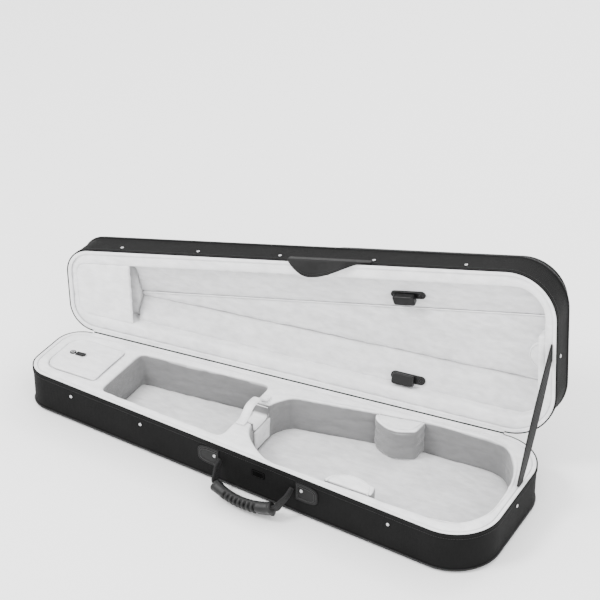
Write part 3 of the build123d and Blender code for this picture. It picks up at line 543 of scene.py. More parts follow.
def pad(name, nodes, skin, body, voxel, swell, rounds, detail=None, spread=0):
    """A padded piece: the CAD solids' shape remeshed, drawn in, and blown up as cloth under pressure.

    voxel, swell and spread are in millimetres. The piece grows sideways by spread, to press on its
    neighbours."""
    swell *= MM
    joined = bmesh.new()
    for source in nodes:
        joined.from_mesh(frame["nodes"][source].data)
    mesh = bpy.data.meshes.new(name)
    joined.to_mesh(mesh)
    joined.free()
    made = add_object(name, mesh)
    remesh = made.modifiers.new("even", "REMESH")
    remesh.mode = "VOXEL"
    remesh.voxel_size = voxel * MM
    mesh = apply_modifiers(made)
    places = neighbours_average(mesh, vertex_array(mesh), rounds, 0.5)
    set_vertices(mesh, places - vertex_array(mesh, "normal") * swell * 0.5)
    blow_up(made, swell)
    mesh = made.data
    places = neighbours_average(mesh, vertex_array(mesh), 2, 0.4)
    set_vertices(mesh, places)
    if detail:
        normals = vertex_array(mesh, "normal")
        lift = np.array([detail(Vector(p), Vector(n)) for p, n in zip(places, normals)])
        set_vertices(mesh, places + normals * lift[:, None])
    if spread:
        normals, along = vertex_array(mesh, "normal"), np.array(LID_UP if body == "lid" else (0, 0, 1))
        across = normals - (normals @ along)[:, None] * along
        set_vertices(mesh, vertex_array(mesh) + across * (spread * MM))
    finer = made.modifiers.new("finer", "SUBSURF")
    finer.levels = finer.render_levels = 1
    mesh = apply_modifiers(made)
    mesh.shade_smooth()
    mesh.materials.clear()
    mesh.materials.append(skin)
    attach(made, body)
    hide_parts(*nodes)


def blow_up(made, swell):
    """Cloth under pressure, with each point's travel capped near swell."""
    before = vertex_array(made.data)
    cloth = made.modifiers.new("padding", "CLOTH")
    cloth.settings.quality = 4
    cloth.settings.mass = 0.3
    cloth.settings.use_pressure = True
    cloth.settings.uniform_pressure_force = PRESSURE
    cloth.settings.effector_weights.gravity = 0
    cloth.collision_settings.use_collision = False
    cloth.point_cache.frame_start, cloth.point_cache.frame_end = 1, CLOTH_FRAMES
    for number in range(1, CLOTH_FRAMES + 1):
        bpy.context.scene.frame_set(number)
    mesh = apply_modifiers(made)
    bpy.context.scene.frame_set(1)
    travel = vertex_array(mesh) - before
    length = np.linalg.norm(travel, axis=1, keepdims=True)
    set_vertices(mesh, before + travel * (swell / (swell + length)))


# ================================================================ base and lid shells
def pucker(x, z, rivet_z):
    """How far the fabric is drawn in towards each rivet, in metres."""
    depth = 0.0
    for rivet in RIVET_X:
        distance = math.hypot(x - rivet, z - rivet_z)
        depth += 0.5 * MM * math.exp(-((distance / (7 * MM)) ** 2))
    return depth


WALL_STEPS, EDGE_STEPS = 12, 6


def cover(name, rim, outer, rivet_z, body, place, replaces):
    """The fabric outside of one half: walls, a rounded edge and the flat panel, with a thickness."""
    up = 1 if outer > rim else -1
    heights = [(rim + (outer - up * EDGE_ROUND - rim) * k / WALL_STEPS, 0.0) for k in range(WALL_STEPS + 1)]
    for step in range(1, EDGE_STEPS + 1):
        angle = math.pi / 2 * step / EDGE_STEPS
        heights.append((outer - up * EDGE_ROUND * (1 - math.sin(angle)), EDGE_ROUND * (1 - math.cos(angle))))
    count = len(OUTLINE)
    vertices = []
    for z, inset in heights:
        for point, normal in OUTLINE:
            spot = point - normal * inset
            ripple = noise.noise(Vector((spot.x, spot.y, z)) * 26) * 0.35 * MM
            depth = pucker(spot.x, z, rivet_z) if spot.y < 0 and inset == 0 else 0.0
            fade = min(1.0, abs(z - rim) / (9 * MM)) if inset == 0 else 0.0
            spot = spot + normal * (ripple - 0.2 * MM - depth) * fade
            vertices.append((spot.x, spot.y, z))
    for z, inset in ((outer - up * 1.2 * MM, EDGE_ROUND), (rim, 1.2 * MM)):
        for point, normal in OUTLINE:
            spot = point - normal * inset
            vertices.append((spot.x, spot.y, z))
    faces = tube_faces(len(heights) + 2, count, True)
    flat = len(heights) - 1
    faces = [face for face in faces if (min(face) // count, max(face) // count) != (flat, flat + 1)]
    faces.append(tuple(flat * count + k for k in range(count)))
    faces.append(tuple((flat + 1) * count + k for k in range(count)))
    made = piece(name, vertices, faces, CANVAS, body, "case_fabric", place, replaces)
    made.data.set_sharp_from_angle(angle=math.radians(40))
    return made


cover("base_fabric", BASE_TOP - BINDING, 0.0, RIVET_BASE_Z, "base", AS_DRAWN,
      ("base_side_cover", "base_bottom_cover"))
cover("lid_fabric", LID_RIM + BINDING, LID_TOP, RIVET_LID_Z, "lid", OPEN,
      ("lid_side_cover", "lid_top_cover"))


ROLL_OUTER = 0.9 * MM  # the rolled plush runs from here, in from the case's side
ROLL_INNER = {"base": 7.0 * MM, "lid": 6.6 * MM}


def hinge_side(outward, place):
    """Whether a direction, drawn in place, points out of the straight back wall."""
    return outward @ (place.to_3x3() @ BACK_OUT) > 0.9999


def binding(name, rim, up, body, place, replaces):
    """A thin black edge on the rim, its hem stitched down outside, with plush rolled over inside it."""
    edge = round_the_case(rim + up * BINDING / 2, drawn=place)
    section = [(x - 0.15 * MM, y) for x, y in rounded_box_section(1.9 * MM, BINDING, 0.9 * MM, 5)]
    sweep(name, edge, section, BINDING_TAPE, body, "piping", replaces=replaces)
    roll = [(x - (ROLL_INNER[body] + ROLL_OUTER) / 2, y)
            for x, y in rounded_box_section(ROLL_INNER[body] - ROLL_OUTER, BINDING, 1.7 * MM, 5)]
    rolled = sweep(f"{body}_rim_roll", edge, roll, PLUSH, body, "plush")
    back_edge = [spot for spot in edge if hinge_side(spot[1], place)]
    tongue = [(x - 0.2 * MM, y) for x, y in rounded_box_section(3.0 * MM, BINDING + 0.2 * MM, 1.2 * MM, 4)]
    padded_edge = sweep(f"{body}_hinge_roll", back_edge, tongue, PLUSH, body, "plush", closed=False)
    sweep(f"{name}_hem", round_the_case(rim + up * (BINDING + 2.2 * MM), 0.1 * MM, place),
          rounded_box_section(1.2 * MM, 5 * MM, 0.5 * MM, 2), BINDING_TAPE, body, "piping")
    points = [place @ Vector((*(point + normal * 0.7 * MM), rim + up * (BINDING + 3.2 * MM)))
              for point, normal in OUTLINE]
    upright = place.to_3x3() @ UP
    centre = place @ Vector((60 * MM, 0, rim))

    def away(spot):
        across = spot - centre
        return (across - upright * (across @ upright)).normalized()

    stitches(f"{name}_stitches", points, away, body, closed=True)


binding("base_binding", BASE_TOP, -1, "base", AS_DRAWN, ("base_rim_binding",))
binding("lid_binding", LID_RIM, 1, "lid", OPEN, ("lid_rim_binding",))


def edge_piping(name, z, body, place, replaces):
    """The corded seam between the walls and the flat panel."""
    section = [(x + 0.2 * MM, y) for x, y in circle(1.5 * MM, 10)]
    sweep(name, round_the_case(z, drawn=place), section, PIPING, body, "piping", replaces=replaces)


edge_piping("base_piping", SHELL, "base", AS_DRAWN, ("base_bottom_piping",))
edge_piping("lid_piping", LID_TOP - SHELL, "lid", OPEN, ("lid_top_piping",))


# ================================================================ plush lining
def fold(x, y, centre, radius, width, depth):
    """A soft curved fold at a radius round a centre, fading out on the side towards the neck."""
    dx, dy = x - centre[0], y - centre[1]
    distance = math.hypot(dx, dy) - radius
    side = max(0.0, dx / (radius + 1e-9))
    return depth * side * math.exp(-((distance / width) ** 2))


def insert_detail(point, normal):
    """Walls are gathered in level ripples; the top is nearly flat."""
    uneven = noise.noise(point * 30) * 0.5 * MM
    if abs(normal.z) < 0.5 and point.z < INSERT_TOP - 6 * MM:
        ripples = noise.noise(Vector((point.x * 14, point.y * 14, point.z * 95)))
        return uneven * 0.6 + ripples * 1.5 * MM
    return uneven * 0.5


FLOOR_FOLDS = (  # centre, radius, width, height above the floor
    ((95 * MM, 8 * MM), 32 * MM, 3.2 * MM, 0.9 * MM),
    ((95 * MM, 8 * MM), 39 * MM, 3.0 * MM, -0.8 * MM),
    ((205 * MM, 44 * MM), 30 * MM, 3.0 * MM, 0.8 * MM),
)


def floor_detail(point, normal):
    """The floor's cloth lies with a few shallow folds, some curved by the waist block's foot."""
    if normal.z < 0.6:
        return 0.0
    lift = noise.noise(Vector((point.x * 16, point.y * 30, 0))) * 0.8 * MM
    for centre, radius, width, depth in FLOOR_FOLDS:
        lift += fold(point.x, point.y, centre, radius, width, depth)
    return lift


def gentle_detail(point, _):
    return noise.noise(point * 22) * 0.6 * MM


def fine_detail(point, _):
    return noise.noise(point * 40) * 0.25 * MM


def neck_end_board():
    """A plush board under the cradle, upright at the violin pit's neck end, narrower at its foot."""
    low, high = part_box("neck_cradle")
    front = high.x + 0.4 * MM
    top, foot = low.z + 3 * MM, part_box("violin_pit_pad")[1].z + 1 * MM
    half = (high.y - low.y) / 2 - 1.5 * MM
    corners = [(-half, top), (half, top), (half * 0.88, foot), (-half * 0.88, foot)]
    rim, per_side = [], 12
    for (y0, z0), (y1, z1) in zip(corners, corners[1:] + corners[:1]):
        for step in range(per_side):
            share = step / per_side
            rim.append((y0 + (y1 - y0) * share, z0 + (z1 - z0) * share))
    middle = Vector((0, (top + foot) / 2))
    steps = ((0.0, 0.0), (0.0, 1.4), (0.5, 2.2), (1.6, 2.8), (5.0, 3.3), (11.0, 3.5))
    vertices = []
    for inset, height in steps:
        for y, z in rim:
            spot = Vector((y, z))
            spot += (middle - spot).normalized() * inset * MM
            vertices.append((front + height * MM, spot.x, spot.y))
    made = piece("neck_end_board_plush", vertices, capped_tube(len(steps), len(rim)), PLUSH_RECESS_SHADE, "base",
                 "plush")


BLOCKS = ("insert_box_block", "insert_neck_block", "insert_violin_block")
PIT_PADS = (  # name, nodes, skin, body, voxel, swell, rounds of smoothing, detail, spread
    ("base_plush", BLOCKS, PLUSH_WALL_SHADED, "base", 3.0, 0.5, 5, insert_detail),
    ("violin_pit_floor", ("violin_pit_pad",), PLUSH_RECESS_SHADE, "base", 3.0, 1.6, 6, floor_detail, 2.6),
    ("neck_pit_floor", ("neck_pit_pad",), PLUSH_RECESS_SHADE, "base", 3.0, 1.4, 6, floor_detail, 2.6),
)
OTHER_PADS = (
    ("neck_cradle_plush", ("neck_cradle",), PLUSH_WALL_SHADED, "base", 1.4, 0.4, 1, gentle_detail),
    ("back_waist_plush", ("back_waist_block",), PLUSH_WALL_SHADED, "base", 2.2, 0.8, 3, insert_detail),
    ("front_waist_plush", ("front_waist_block",), PLUSH_WALL_SHADED, "base", 2.2, 0.8, 3, insert_detail),
    ("lid_rim_plush", ("lid_rim_pad",), PLUSH, "lid", 3.0, 0.8, 5, gentle_detail, 1.9),
    ("lid_front_slope_plush", ("lid_front_slope_pad",), PLUSH_RECESS_SHADE, "lid", 3.2, 1.2, 3, gentle_detail, 1.2),
    ("lid_back_slope_plush", ("lid_back_slope_pad",), PLUSH_RECESS_SHADE, "lid", 3.2, 1.2, 3, gentle_detail, 1.2),
    ("lid_middle_plush", ("lid_middle_pad",), PLUSH_RECESS_SHADE, "lid", 3.2, 1.2, 3, gentle_detail, 1.1),
    ("bow_tip_board_plush", ("bow_tip_board",), PLUSH, "lid", 1.8, 0.6, 2, gentle_detail),
    ("bow_tip_backing", ("bow_tip_pad",), PLUSH_RECESS_SHADE, "lid", 3.2, 1.0, 3),
    ("bow_end_bar_plush", ("bow_end_bar",), PLUSH, "lid", 1.6, 0.6, 3),
    ("bow_end_patch_plush", ("bow_end_patch",), PLUSH, "lid", 1.4, 0.6, 3),
    ("accessory_lid_plush", ("accessory_lid",), PLUSH, "accessory_lid", 1.5, 0.35, 2, fine_detail),
)
for row in PIT_PADS:
    pad(*row)
neck_end_board()
for row in OTHER_PADS:
    pad(*row)


# ================================================================ seams and piping on the plush
def seam_cord(name, points, body, outward, radius, place=AS_DRAWN, skin=PLUSH):
    """A thin corded seam laid along points."""
    turn = place.to_3x3()
    path = [(place @ spot, turn @ along.cross(outward).normalized(), turn @ outward)
            for spot, along in evenly(points, 3 * MM)]
    sweep(name, path, circle(radius, 8), skin, body, "plush", closed=False)


def spline(points, count=60):
    """A smooth curve through points (Catmull-Rom)."""
    line = [Vector(p) for p in points]
    line = [2 * line[0] - line[1], *line, 2 * line[-1] - line[-2]]
    spans = len(line) - 3
    found = []
    for step in range(count + 1):
        at = min(step * spans / count, spans - 1e-9)
        k, t = int(at), at - int(at)
        a, b, c, d = line[k:k + 4]
        found.append(0.5 * ((2 * b) + (c - a) * t + (2 * a - 5 * b + 4 * c - d) * t * t
                            + (3 * b - a - 3 * c + d) * t ** 3))
    return found


SEAM_RADIUS = 0.6 * MM
SEAM_Z = INSERT_TOP + 0.3 * MM - SEAM_RADIUS  # its top stays under the shut lid's padding


# The violin pit is edged with a seam a finger's width outside its rim, at the back and the round end.
FLAT_SEAMS = (  # name, body, height, radius, points in millimetres
    ("pit_end_seam", "base", SEAM_Z, SEAM_RADIUS,
     ((214, 104.5), (260, 107), (306, 108.5), (346, 93.5), (368, 62), (381, 8), (380.5, -24), (376, -62),
      (353, -95), (310, -106.4))),
    ("pit_back_seam", "base", SEAM_Z, SEAM_RADIUS, ((-8, 60), (14, 67), (70, 77.6), (128, 89.2))),
    ("waist_block_seam", "base", SEAM_Z, SEAM_RADIUS,
     ((138, 88), (143, 74), (156, 65), (178, 62.5), (196, 70), (201.5, 84), (203.5, 100))),
    ("front_block_seam", "base", SEAM_Z, SEAM_RADIUS,
     ((146, -99), (151, -84), (164, -74.5), (182, -72), (199, -77), (209, -88), (212, -101))),
    ("accessory_lid_seam", "accessory_lid", INSERT_TOP + 0.05 * MM, 0.55 * MM,
     ((-283, 39.5), (-352, 39.5), (-366, 31), (-367.5, 10), (-367.5, -10), (-366, -31), (-352, -39.5),
      (-283, -39.5))),
)
for name, body, height, radius, points in FLAT_SEAMS:
    seam_cord(name, spline([(x * MM, y * MM, height) for x, y in points]), body, UP, radius)

# Inside the lid: a light seam where the front slope meets the ceiling, and one along the back ring in darker
# plush, its colour painted crease shade.
CEILING = LID_PAD + 38 * MM
SLOPE_LOW = LID_PAD + 15 * MM
LID_SEAM_X = (-284 * MM, 374 * MM)
FRONT_SEAM, RING_SIDE = 82 * MM, 24 * MM * math.hypot(1, SIDE_SLOPE)


def lid_line(across, height):
    return [Vector((x, across(x), height)) for x in LID_SEAM_X]


# The half-round patch at the wide end.
PATCH_X, PATCH_Y, PATCH_FACE = 365.6 * MM, 12 * MM, CEILING - 7 * MM
PATCH_SEAM_RADIUS = 20 * MM
patch_seam = [Vector((PATCH_X - PATCH_SEAM_RADIUS * math.cos(math.radians(angle)),
                      PATCH_Y + PATCH_SEAM_RADIUS * math.sin(math.radians(angle)), PATCH_FACE - 0.3 * MM))
              for angle in range(-80, 81, 10)]
for name, points, radius, skin in (
    ("lid_front_seam", lid_line(lambda x: FRONT_SEAM - half_width(x), CEILING - 0.4 * MM), 0.9 * MM, PLUSH),
    ("lid_back_ring_seam", lid_line(lambda x: half_width(x) - RING_SIDE - 0.3 * MM, SLOPE_LOW - 0.3 * MM),
     0.8 * MM, PLUSH_SHADE),
    ("bow_end_patch_seam", patch_seam, 0.9 * MM, PLUSH),
):
    seam_cord(name, points, "lid", -UP, radius, OPEN, skin)

# ================================================================ accessory lid's pull tab
EYELET = (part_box("accessory_eyelet")[0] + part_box("accessory_eyelet")[1]) / 2


def domed_plate(name, rim, skin, body, slot, place, thickness, edge, **extra):
    """A flat shape with a rolled edge: rim is its outline as (x, y), centred near the origin."""
    steps = ((0.0, 0.0), (0.0, thickness * 0.55), (edge * 0.35, thickness * 0.9), (edge, thickness),
             (edge * 2.2, thickness))
    middle = sum((Vector(p) for p in rim), Vector((0, 0))) / len(rim)
    vertices = []
    for inset, height in steps:
        for p in rim:
            inward = middle - Vector(p)
            spot = Vector(p) + inward.normalized() * min(inset, inward.length * 0.9)
            vertices.append((*spot, height))
    made = piece(name, vertices, capped_tube(len(steps), len(rim)), skin, body, slot, place, **extra)
    made.data.set_sharp_from_angle(angle=math.radians(50))
    return made


def rounded_rim(x0, x1, half, radius, steps=6):
    rim = []
    for cx, cy, first in ((x1 - radius, half - radius, 0), (x0 + radius, half - radius, 90),
                          (x0 + radius, -half + radius, 180), (x1 - radius, -half + radius, 270)):
        for step in range(steps + 1):
            angle = math.radians(first + 90 * step / steps)
            rim.append((cx + radius * math.cos(angle), cy + radius * math.sin(angle)))
    return rim


def accessory_tab():
    tab_low, tab_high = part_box("accessory_pull_tab")
    base_low, base_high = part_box("accessory_tab_base")
    half = (tab_high.y - tab_low.y) / 2
    rim = circle((base_high.x - base_low.x) / 2, 28)
    domed_plate("accessory_tab_base_leather", rim, LEATHER, "accessory_lid", "leather",
                Matrix.Translation((EYELET.x, EYELET.y, base_low.z)), 1.1 * MM, 0.5 * MM,
                replaces=("accessory_tab_base",))
    length = tab_high.x - tab_low.x
    columns, rows = 20, 9
    vertices = []
    for face in (0, 1):
        for i in range(columns + 1):
            share = i / columns
            x = tab_low.x + length * share
            width = half * min(1.0, math.sqrt(max(0.0, 1 - max(0.0, (share - 0.72) / 0.28) ** 2)) + 0.02)
            lift = 1.6 * MM * share ** 2
            for j in range(rows):
                y = EYELET.y + width * (2 * j / (rows - 1) - 1)
                z = tab_low.z + lift + (1.1 * MM if face else 0.0)
                z -= 0.35 * MM * (abs(2 * j / (rows - 1) - 1) ** 4) * (1 if face else -1)
                vertices.append((x, y, z))
    piece("accessory_pull_leather", vertices, leaf_faces(columns, rows), LEATHER, "accessory_pull_tab",
          "leather", replaces=("accessory_pull_tab",))
    inner = [Vector((tab_low.x + length * a, EYELET.y + half * b, tab_low.z + 1.15 * MM + 1.6 * MM * a * a))
             for a, b in ((0.06, 0.74), (0.45, 0.74), (0.72, 0.7), (0.87, 0.4), (0.9, 0.0), (0.87, -0.4),
                          (0.72, -0.7), (0.45, -0.74), (0.06, -0.74))]
    stitches("accessory_pull_stitches", inner, UP, "accessory_pull_tab", pitch=2.2 * MM, radius=0.22 * MM)


accessory_tab()

# ================================================================ neck strap
STRAP_LOW, STRAP_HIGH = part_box("neck_strap")
STRAP_STITCH_SKIP = 4  # stations left bare at each foot, where the strap folds


def neck_strap():
    """A padded band over the neck: two flat feet and an arch, rounded across."""
    middle_x = (STRAP_LOW.x + STRAP_HIGH.x) / 2
    top, foot = STRAP_HIGH.z, STRAP_LOW.z
    side = STRAP_HIGH.y
    line = spline([(middle_x, -side, foot + 1.2 * MM), (middle_x, -side * 0.82, foot + 1.4 * MM),
                   (middle_x, -side * 0.62, foot + 4.2 * MM), (middle_x, -side * 0.3, top - 3.2 * MM),
                   (middle_x, 0, top - 1.7 * MM), (middle_x, side * 0.3, top - 3.2 * MM),
                   (middle_x, side * 0.62, foot + 4.2 * MM), (middle_x, side * 0.82, foot + 1.4 * MM),
                   (middle_x, side, foot + 1.2 * MM)], 56)
    width = STRAP_HIGH.x - STRAP_LOW.x
    path = []
    for spot, along in evenly(line, 1.8 * MM):
        path.append((spot, ALONG_X, along.cross(ALONG_X).normalized() * -1))
    made = sweep("neck_strap_band", path, rounded_box_section(width, 2.6 * MM, 1.15 * MM, 4), PLUSH,
                 "neck_strap", "plush", closed=False, replaces=("neck_strap",))
    for share in (-0.36, 0.36):
        row = [spot + Vector((width * share, 0, 0)) + out * 1.3 * MM
               for (spot, _, out) in path[STRAP_STITCH_SKIP:-STRAP_STITCH_SKIP]]
        stitches(f"neck_strap_stitches_{'a' if share < 0 else 'b'}", row,
                 UP, "neck_strap", WHITE_THREAD, "plush", pitch=2.4 * MM, radius=0.2 * MM)


neck_strap()

# ================================================================ handle
SWING = JOINTS["handle_swing"]
ROOT = Vector(SWING["pos_m"])
ALONG = -Vector(SWING["axis"])  # along the wall, towards the wide end
DROP = math.radians(40)
ARM = WALL_OUT * math.cos(DROP) - UP * math.sin(DROP)
ACROSS = ALONG.cross(ARM)
REACH, SAGITTA = 44 * MM, 9 * MM
GRIP_HALF, GRIP_WIDE, GRIP_THICK = 50 * MM, 26 * MM, 18 * MM
GROOVE_PITCH, GROOVES = 7 * MM, 8
STRAP_ROOT = 61.5 * MM


def grip_line(x):
    """Reach of the grip's middle line at x along it, and the line's slope."""
    radius = (GRIP_HALF ** 2 + SAGITTA ** 2) / (2 * SAGITTA)
    drop = radius - math.sqrt(radius ** 2 - x ** 2)
    return REACH - drop, -x / math.sqrt(radius ** 2 - x ** 2)


def handle_spot(along, reach, across):
    return ROOT + ALONG * along + ARM * reach + ACROSS * across


def handle_grip():
    """A moulded grip, bowed, with grooves for the fingers and a collar at each end."""
    stations, around = 150, 36
    vertices = []
    for i in range(stations + 1):
        x = GRIP_HALF * (2 * i / stations - 1)
        reach, slope = grip_line(x)
        along = Vector((1, slope)).normalized()
        outward = Vector((-along.y, along.x))
        end = abs(x) / GRIP_HALF
        size = 1.0 - 0.22 * max(0.0, (end - 0.965) / 0.035) ** 2
        collar = 0.8 * MM * math.exp(-(((abs(x) - GRIP_HALF + 3 * MM) / (2 * MM)) ** 2))
        nearest = (abs(x / GROOVE_PITCH + 0.5 * (1 - GROOVES % 2)) % 1.0)
        phase = min(nearest, 1 - nearest) * GROOVE_PITCH
        in_groove = abs(x) < GROOVES * GROOVE_PITCH / 2
        groove = 5.4 * MM * math.exp(-((phase / (1.7 * MM)) ** 4)) if in_groove else 0.0
        for k in range(around):
            angle = 2 * math.pi * k / around
            c, s = math.cos(angle), math.sin(angle)
            u = math.copysign(abs(c) ** 0.62, c) * (GRIP_WIDE / 2 * size + collar)
            v = math.copysign(abs(s) ** 0.72, s) * (GRIP_THICK / 2 * size + collar)
            cut = groove * min(1.0, max(0.0, s * 2.4 + 0.5))
            v -= cut * max(0.0, s)
            u -= math.copysign(cut * 0.75 * abs(c), c)
            if s < 0:
                v *= 0.9 - 0.08 * math.cos(math.pi * x / (2 * GRIP_HALF))
            spot = Vector((x, reach)) + outward * v
            vertices.append(handle_spot(spot.x, spot.y, u))
    made = piece("handle_moulded_grip", vertices, capped_tube(stations + 1, around), GRIP, "handle",
                 "grip_rubber", replaces=("handle_grip",))
    made.data.set_sharp_from_angle(angle=math.radians(60))


def handle_strap(side, name):
    """Doubled webbing from the grip's mouth to the root, where it narrows and turns into the tab."""
    mouth_reach = grip_line(GRIP_HALF * 0.93)[0]
    stops = [  # along the wall, reach, width and thickness in millimetres
        (GRIP_HALF * 0.9, mouth_reach + 0.5 * MM, 21, 3.4),
        (GRIP_HALF + 3 * MM, mouth_reach - 3 * MM, 20.5, 3.2),
        (GRIP_HALF + 6.5 * MM, mouth_reach - 12 * MM, 18, 3.2),
        (STRAP_ROOT - 1 * MM, 14 * MM, 14, 3.6),
        (STRAP_ROOT + 0.3 * MM, 5 * MM, 10, 4.6),
        (STRAP_ROOT + 0.6 * MM, 0.5 * MM, 8, 5.2),
        (STRAP_ROOT + 0.6 * MM, -1.5 * MM, 7.5, 5.0),
    ]
    line = spline([(x * side, y, 0) for x, y, _, _ in stops], 28)
    stations = []
    for index, spot in enumerate(line):
        share = index / (len(line) - 1) * (len(stops) - 1)
        k = min(int(share), len(stops) - 2)
        t = share - k
        wide = (stops[k][2] * (1 - t) + stops[k + 1][2] * t) * MM
        thick = (stops[k][3] * (1 - t) + stops[k + 1][3] * t) * MM
        before, after = line[max(0, index - 1)], line[min(len(line) - 1, index + 1)]
        along = (after - before).normalized()
        stations.append((spot, Vector((-along.y, along.x, 0)), wide, thick))
    vertices = []
    for spot, out, wide, thick in stations:
        for u, v in rounded_box_section(wide, thick, min(1.5 * MM, thick * 0.45), 3):
            groove = 0.5 * MM * math.exp(-((v / (0.5 * MM)) ** 2)) * (1 if u > 0 else -1)
            flat = spot + out * v
            vertices.append(handle_spot(flat.x, flat.y, u - groove))
    faces = capped_tube(len(stations), len(vertices) // len(stations))
    piece(f"handle_webbing_{name}", vertices, faces, WEBBING, "handle", "webbing",
          replaces=(f"handle_strap_{name}",))
    for edge, label in ((-1, "a"), (1, "b")):
        row = []
        for spot, out, wide, thick in stations[5:-6]:
            flat = spot + out * (thick / 2)
            row.append(handle_spot(flat.x, flat.y, edge * (wide / 2 - 2 * MM)))
        stitches(f"handle_webbing_{name}_stitches_{label}", row, ARM, "handle", pitch=2.6 * MM,
                 radius=0.28 * MM)


TAB_POINTS = 25  # round the tab's end
TAB_START, TAB_LENGTH, TAB_HALF, TAB_SQUARENESS = 67 * MM, 37 * MM, 15 * MM, 0.5
TAB_PROFILE = (  # inset and height in millimetres: a rolled edge, a stitched groove and a flat top
    (0, 0), (0, 1.0), (0.5, 1.8), (1.4, 2.2), (2.3, 1.9), (2.9, 1.5), (3.5, 1.9), (4.6, 2.25), (7, 2.35),
    (11, 2.3),
)


def tab_rim(side, inset):
    """The tab's outline: straight towards the handle, round-ended away from it."""
    rim = []
    for step in range(TAB_POINTS):
        angle = math.pi / 2 - math.pi * step / (TAB_POINTS - 1)
        run = max(0.0, math.cos(angle)) ** TAB_SQUARENESS
        rise = math.copysign(abs(math.sin(angle)) ** TAB_SQUARENESS, math.sin(angle))
        rim.append(((TAB_START + inset * 0.7 + (TAB_LENGTH - 1.7 * inset) * run) * side,
                    (TAB_HALF - inset) * rise))
    return rim


def handle_tab(side, name):
    """A round-ended tab of leather with a rolled edge and two stitched lines."""
    low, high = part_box(f"handle_tab_{name}")
    place = wall_place(37 * MM, (low.z + high.z) / 2)
    vertices = [(x, y, height * MM * 0.94) for inset, height in TAB_PROFILE
                for x, y in tab_rim(side, inset * MM)]
    made = piece(f"handle_leather_{name}", vertices, capped_tube(len(TAB_PROFILE), TAB_POINTS), LEATHER,
                 "base", "leather", place, (f"handle_tab_{name}",))
    made.data.set_sharp_from_angle(angle=math.radians(55))
    for label, inset, height in (("outer", 2.9, 1.5), ("inner", 5.2, 2.2)):
        points = [place @ Vector((x, y, height * MM)) for x, y in tab_rim(side, inset * MM)]
        stitches(f"handle_tab_{name}_{label}_stitches", points, WALL_OUT, "base", TAB_THREAD,
                 pitch=2.4 * MM, radius=0.42 * MM, closed=True)


handle_grip()
for hand, side_name in ((-1, "left"), (1, "right")):
    handle_strap(hand, side_name)
    handle_tab(hand, side_name)


# ================================================================ closure flap
FLAP_JOINT = JOINTS["closure_flap_fold"]
FLAP_ROOT = Vector(FLAP_JOINT["pos_m"])
FLAP_X = 50 * MM
FLAP_HALF, FLAP_DEPTH = 66 * MM, 27 * MM
FLAP_ALONG = -Vector(FLAP_JOINT["axis"])
FLAP_FOLD = math.radians(72)
FLAP_TURN = Matrix.Rotation(FLAP_FOLD, 3, FLAP_ALONG)
FLAP_DOWN = (FLAP_TURN @ (LID_TURN @ -UP).normalized()).normalized()
FLAP_FACE = (FLAP_TURN @ (LID_TURN @ WALL_OUT).normalized()).normalized()


def flap_edge(x):
    """How far the flap hangs at x from its middle: full at a third of the way, thin at its ends."""
    t = (x / FLAP_HALF + 1) / 2
    rise = math.sin(math.pi / 2 * min(1.0, t / 0.27)) ** 0.8
    fall = 1.0 if t < 0.27 else (0.5 + 0.5 * math.cos(math.pi * (t - 0.27) / 0.73)) ** 0.85
    return FLAP_DEPTH * 0.98 * max(0.03, rise * fall)


def flap_wave(x, share):
    """How far the leather waves out of its plane, a share of the way down to its edge."""
    return 1.1 * MM * math.sin(x / (11 * MM) + 0.6) * share ** 1.5


def closure_flap():
    columns, rows = 60, 14
    thickness = 1.6 * MM
    vertices = []
    for face in (-1, 1):
        for i in range(columns + 1):
            x = FLAP_HALF * (2 * i / columns - 1)
            for j in range(rows + 1):
                down = flap_edge(x) * j / rows
                wave = flap_wave(x, j / rows)
                wave += noise.noise(Vector((x * 40, down * 60, 0))) * 0.8 * MM * (j / rows)
                hem = 0.35 * MM if j in (0, rows) else 0.0
                lift = wave + face * (thickness / 2 - hem)
                vertices.append(FLAP_ROOT + FLAP_ALONG * x + FLAP_DOWN * down + FLAP_FACE * lift)
    piece("closure_flap_leather", vertices, leaf_faces(columns, rows + 1), LEATHER, "closure_flap", "leather",
          replaces=("closure_flap",))
    for number, inset in enumerate((2.2 * MM, 4.6 * MM)):
        row = []
        for i in range(2, columns - 3):
            x = FLAP_HALF * (2 * i / columns - 1) * (1 - 0.03 * number)
            down = max(0.6 * MM, flap_edge(x) - inset)
            lift = flap_wave(x, down / flap_edge(x)) + thickness / 2 + 0.2 * MM
            row.append(FLAP_ROOT + FLAP_ALONG * x + FLAP_DOWN * down + FLAP_FACE * lift)
        stitches(f"closure_flap_stitches_{number}", row, FLAP_FACE, "closure_flap", pitch=3.0 * MM,
                 radius=0.3 * MM)


closure_flap()

# ================================================================ stay strap and hinge tape
STAY_WIDTH, STAY_THICK = 20 * MM, 1.4 * MM


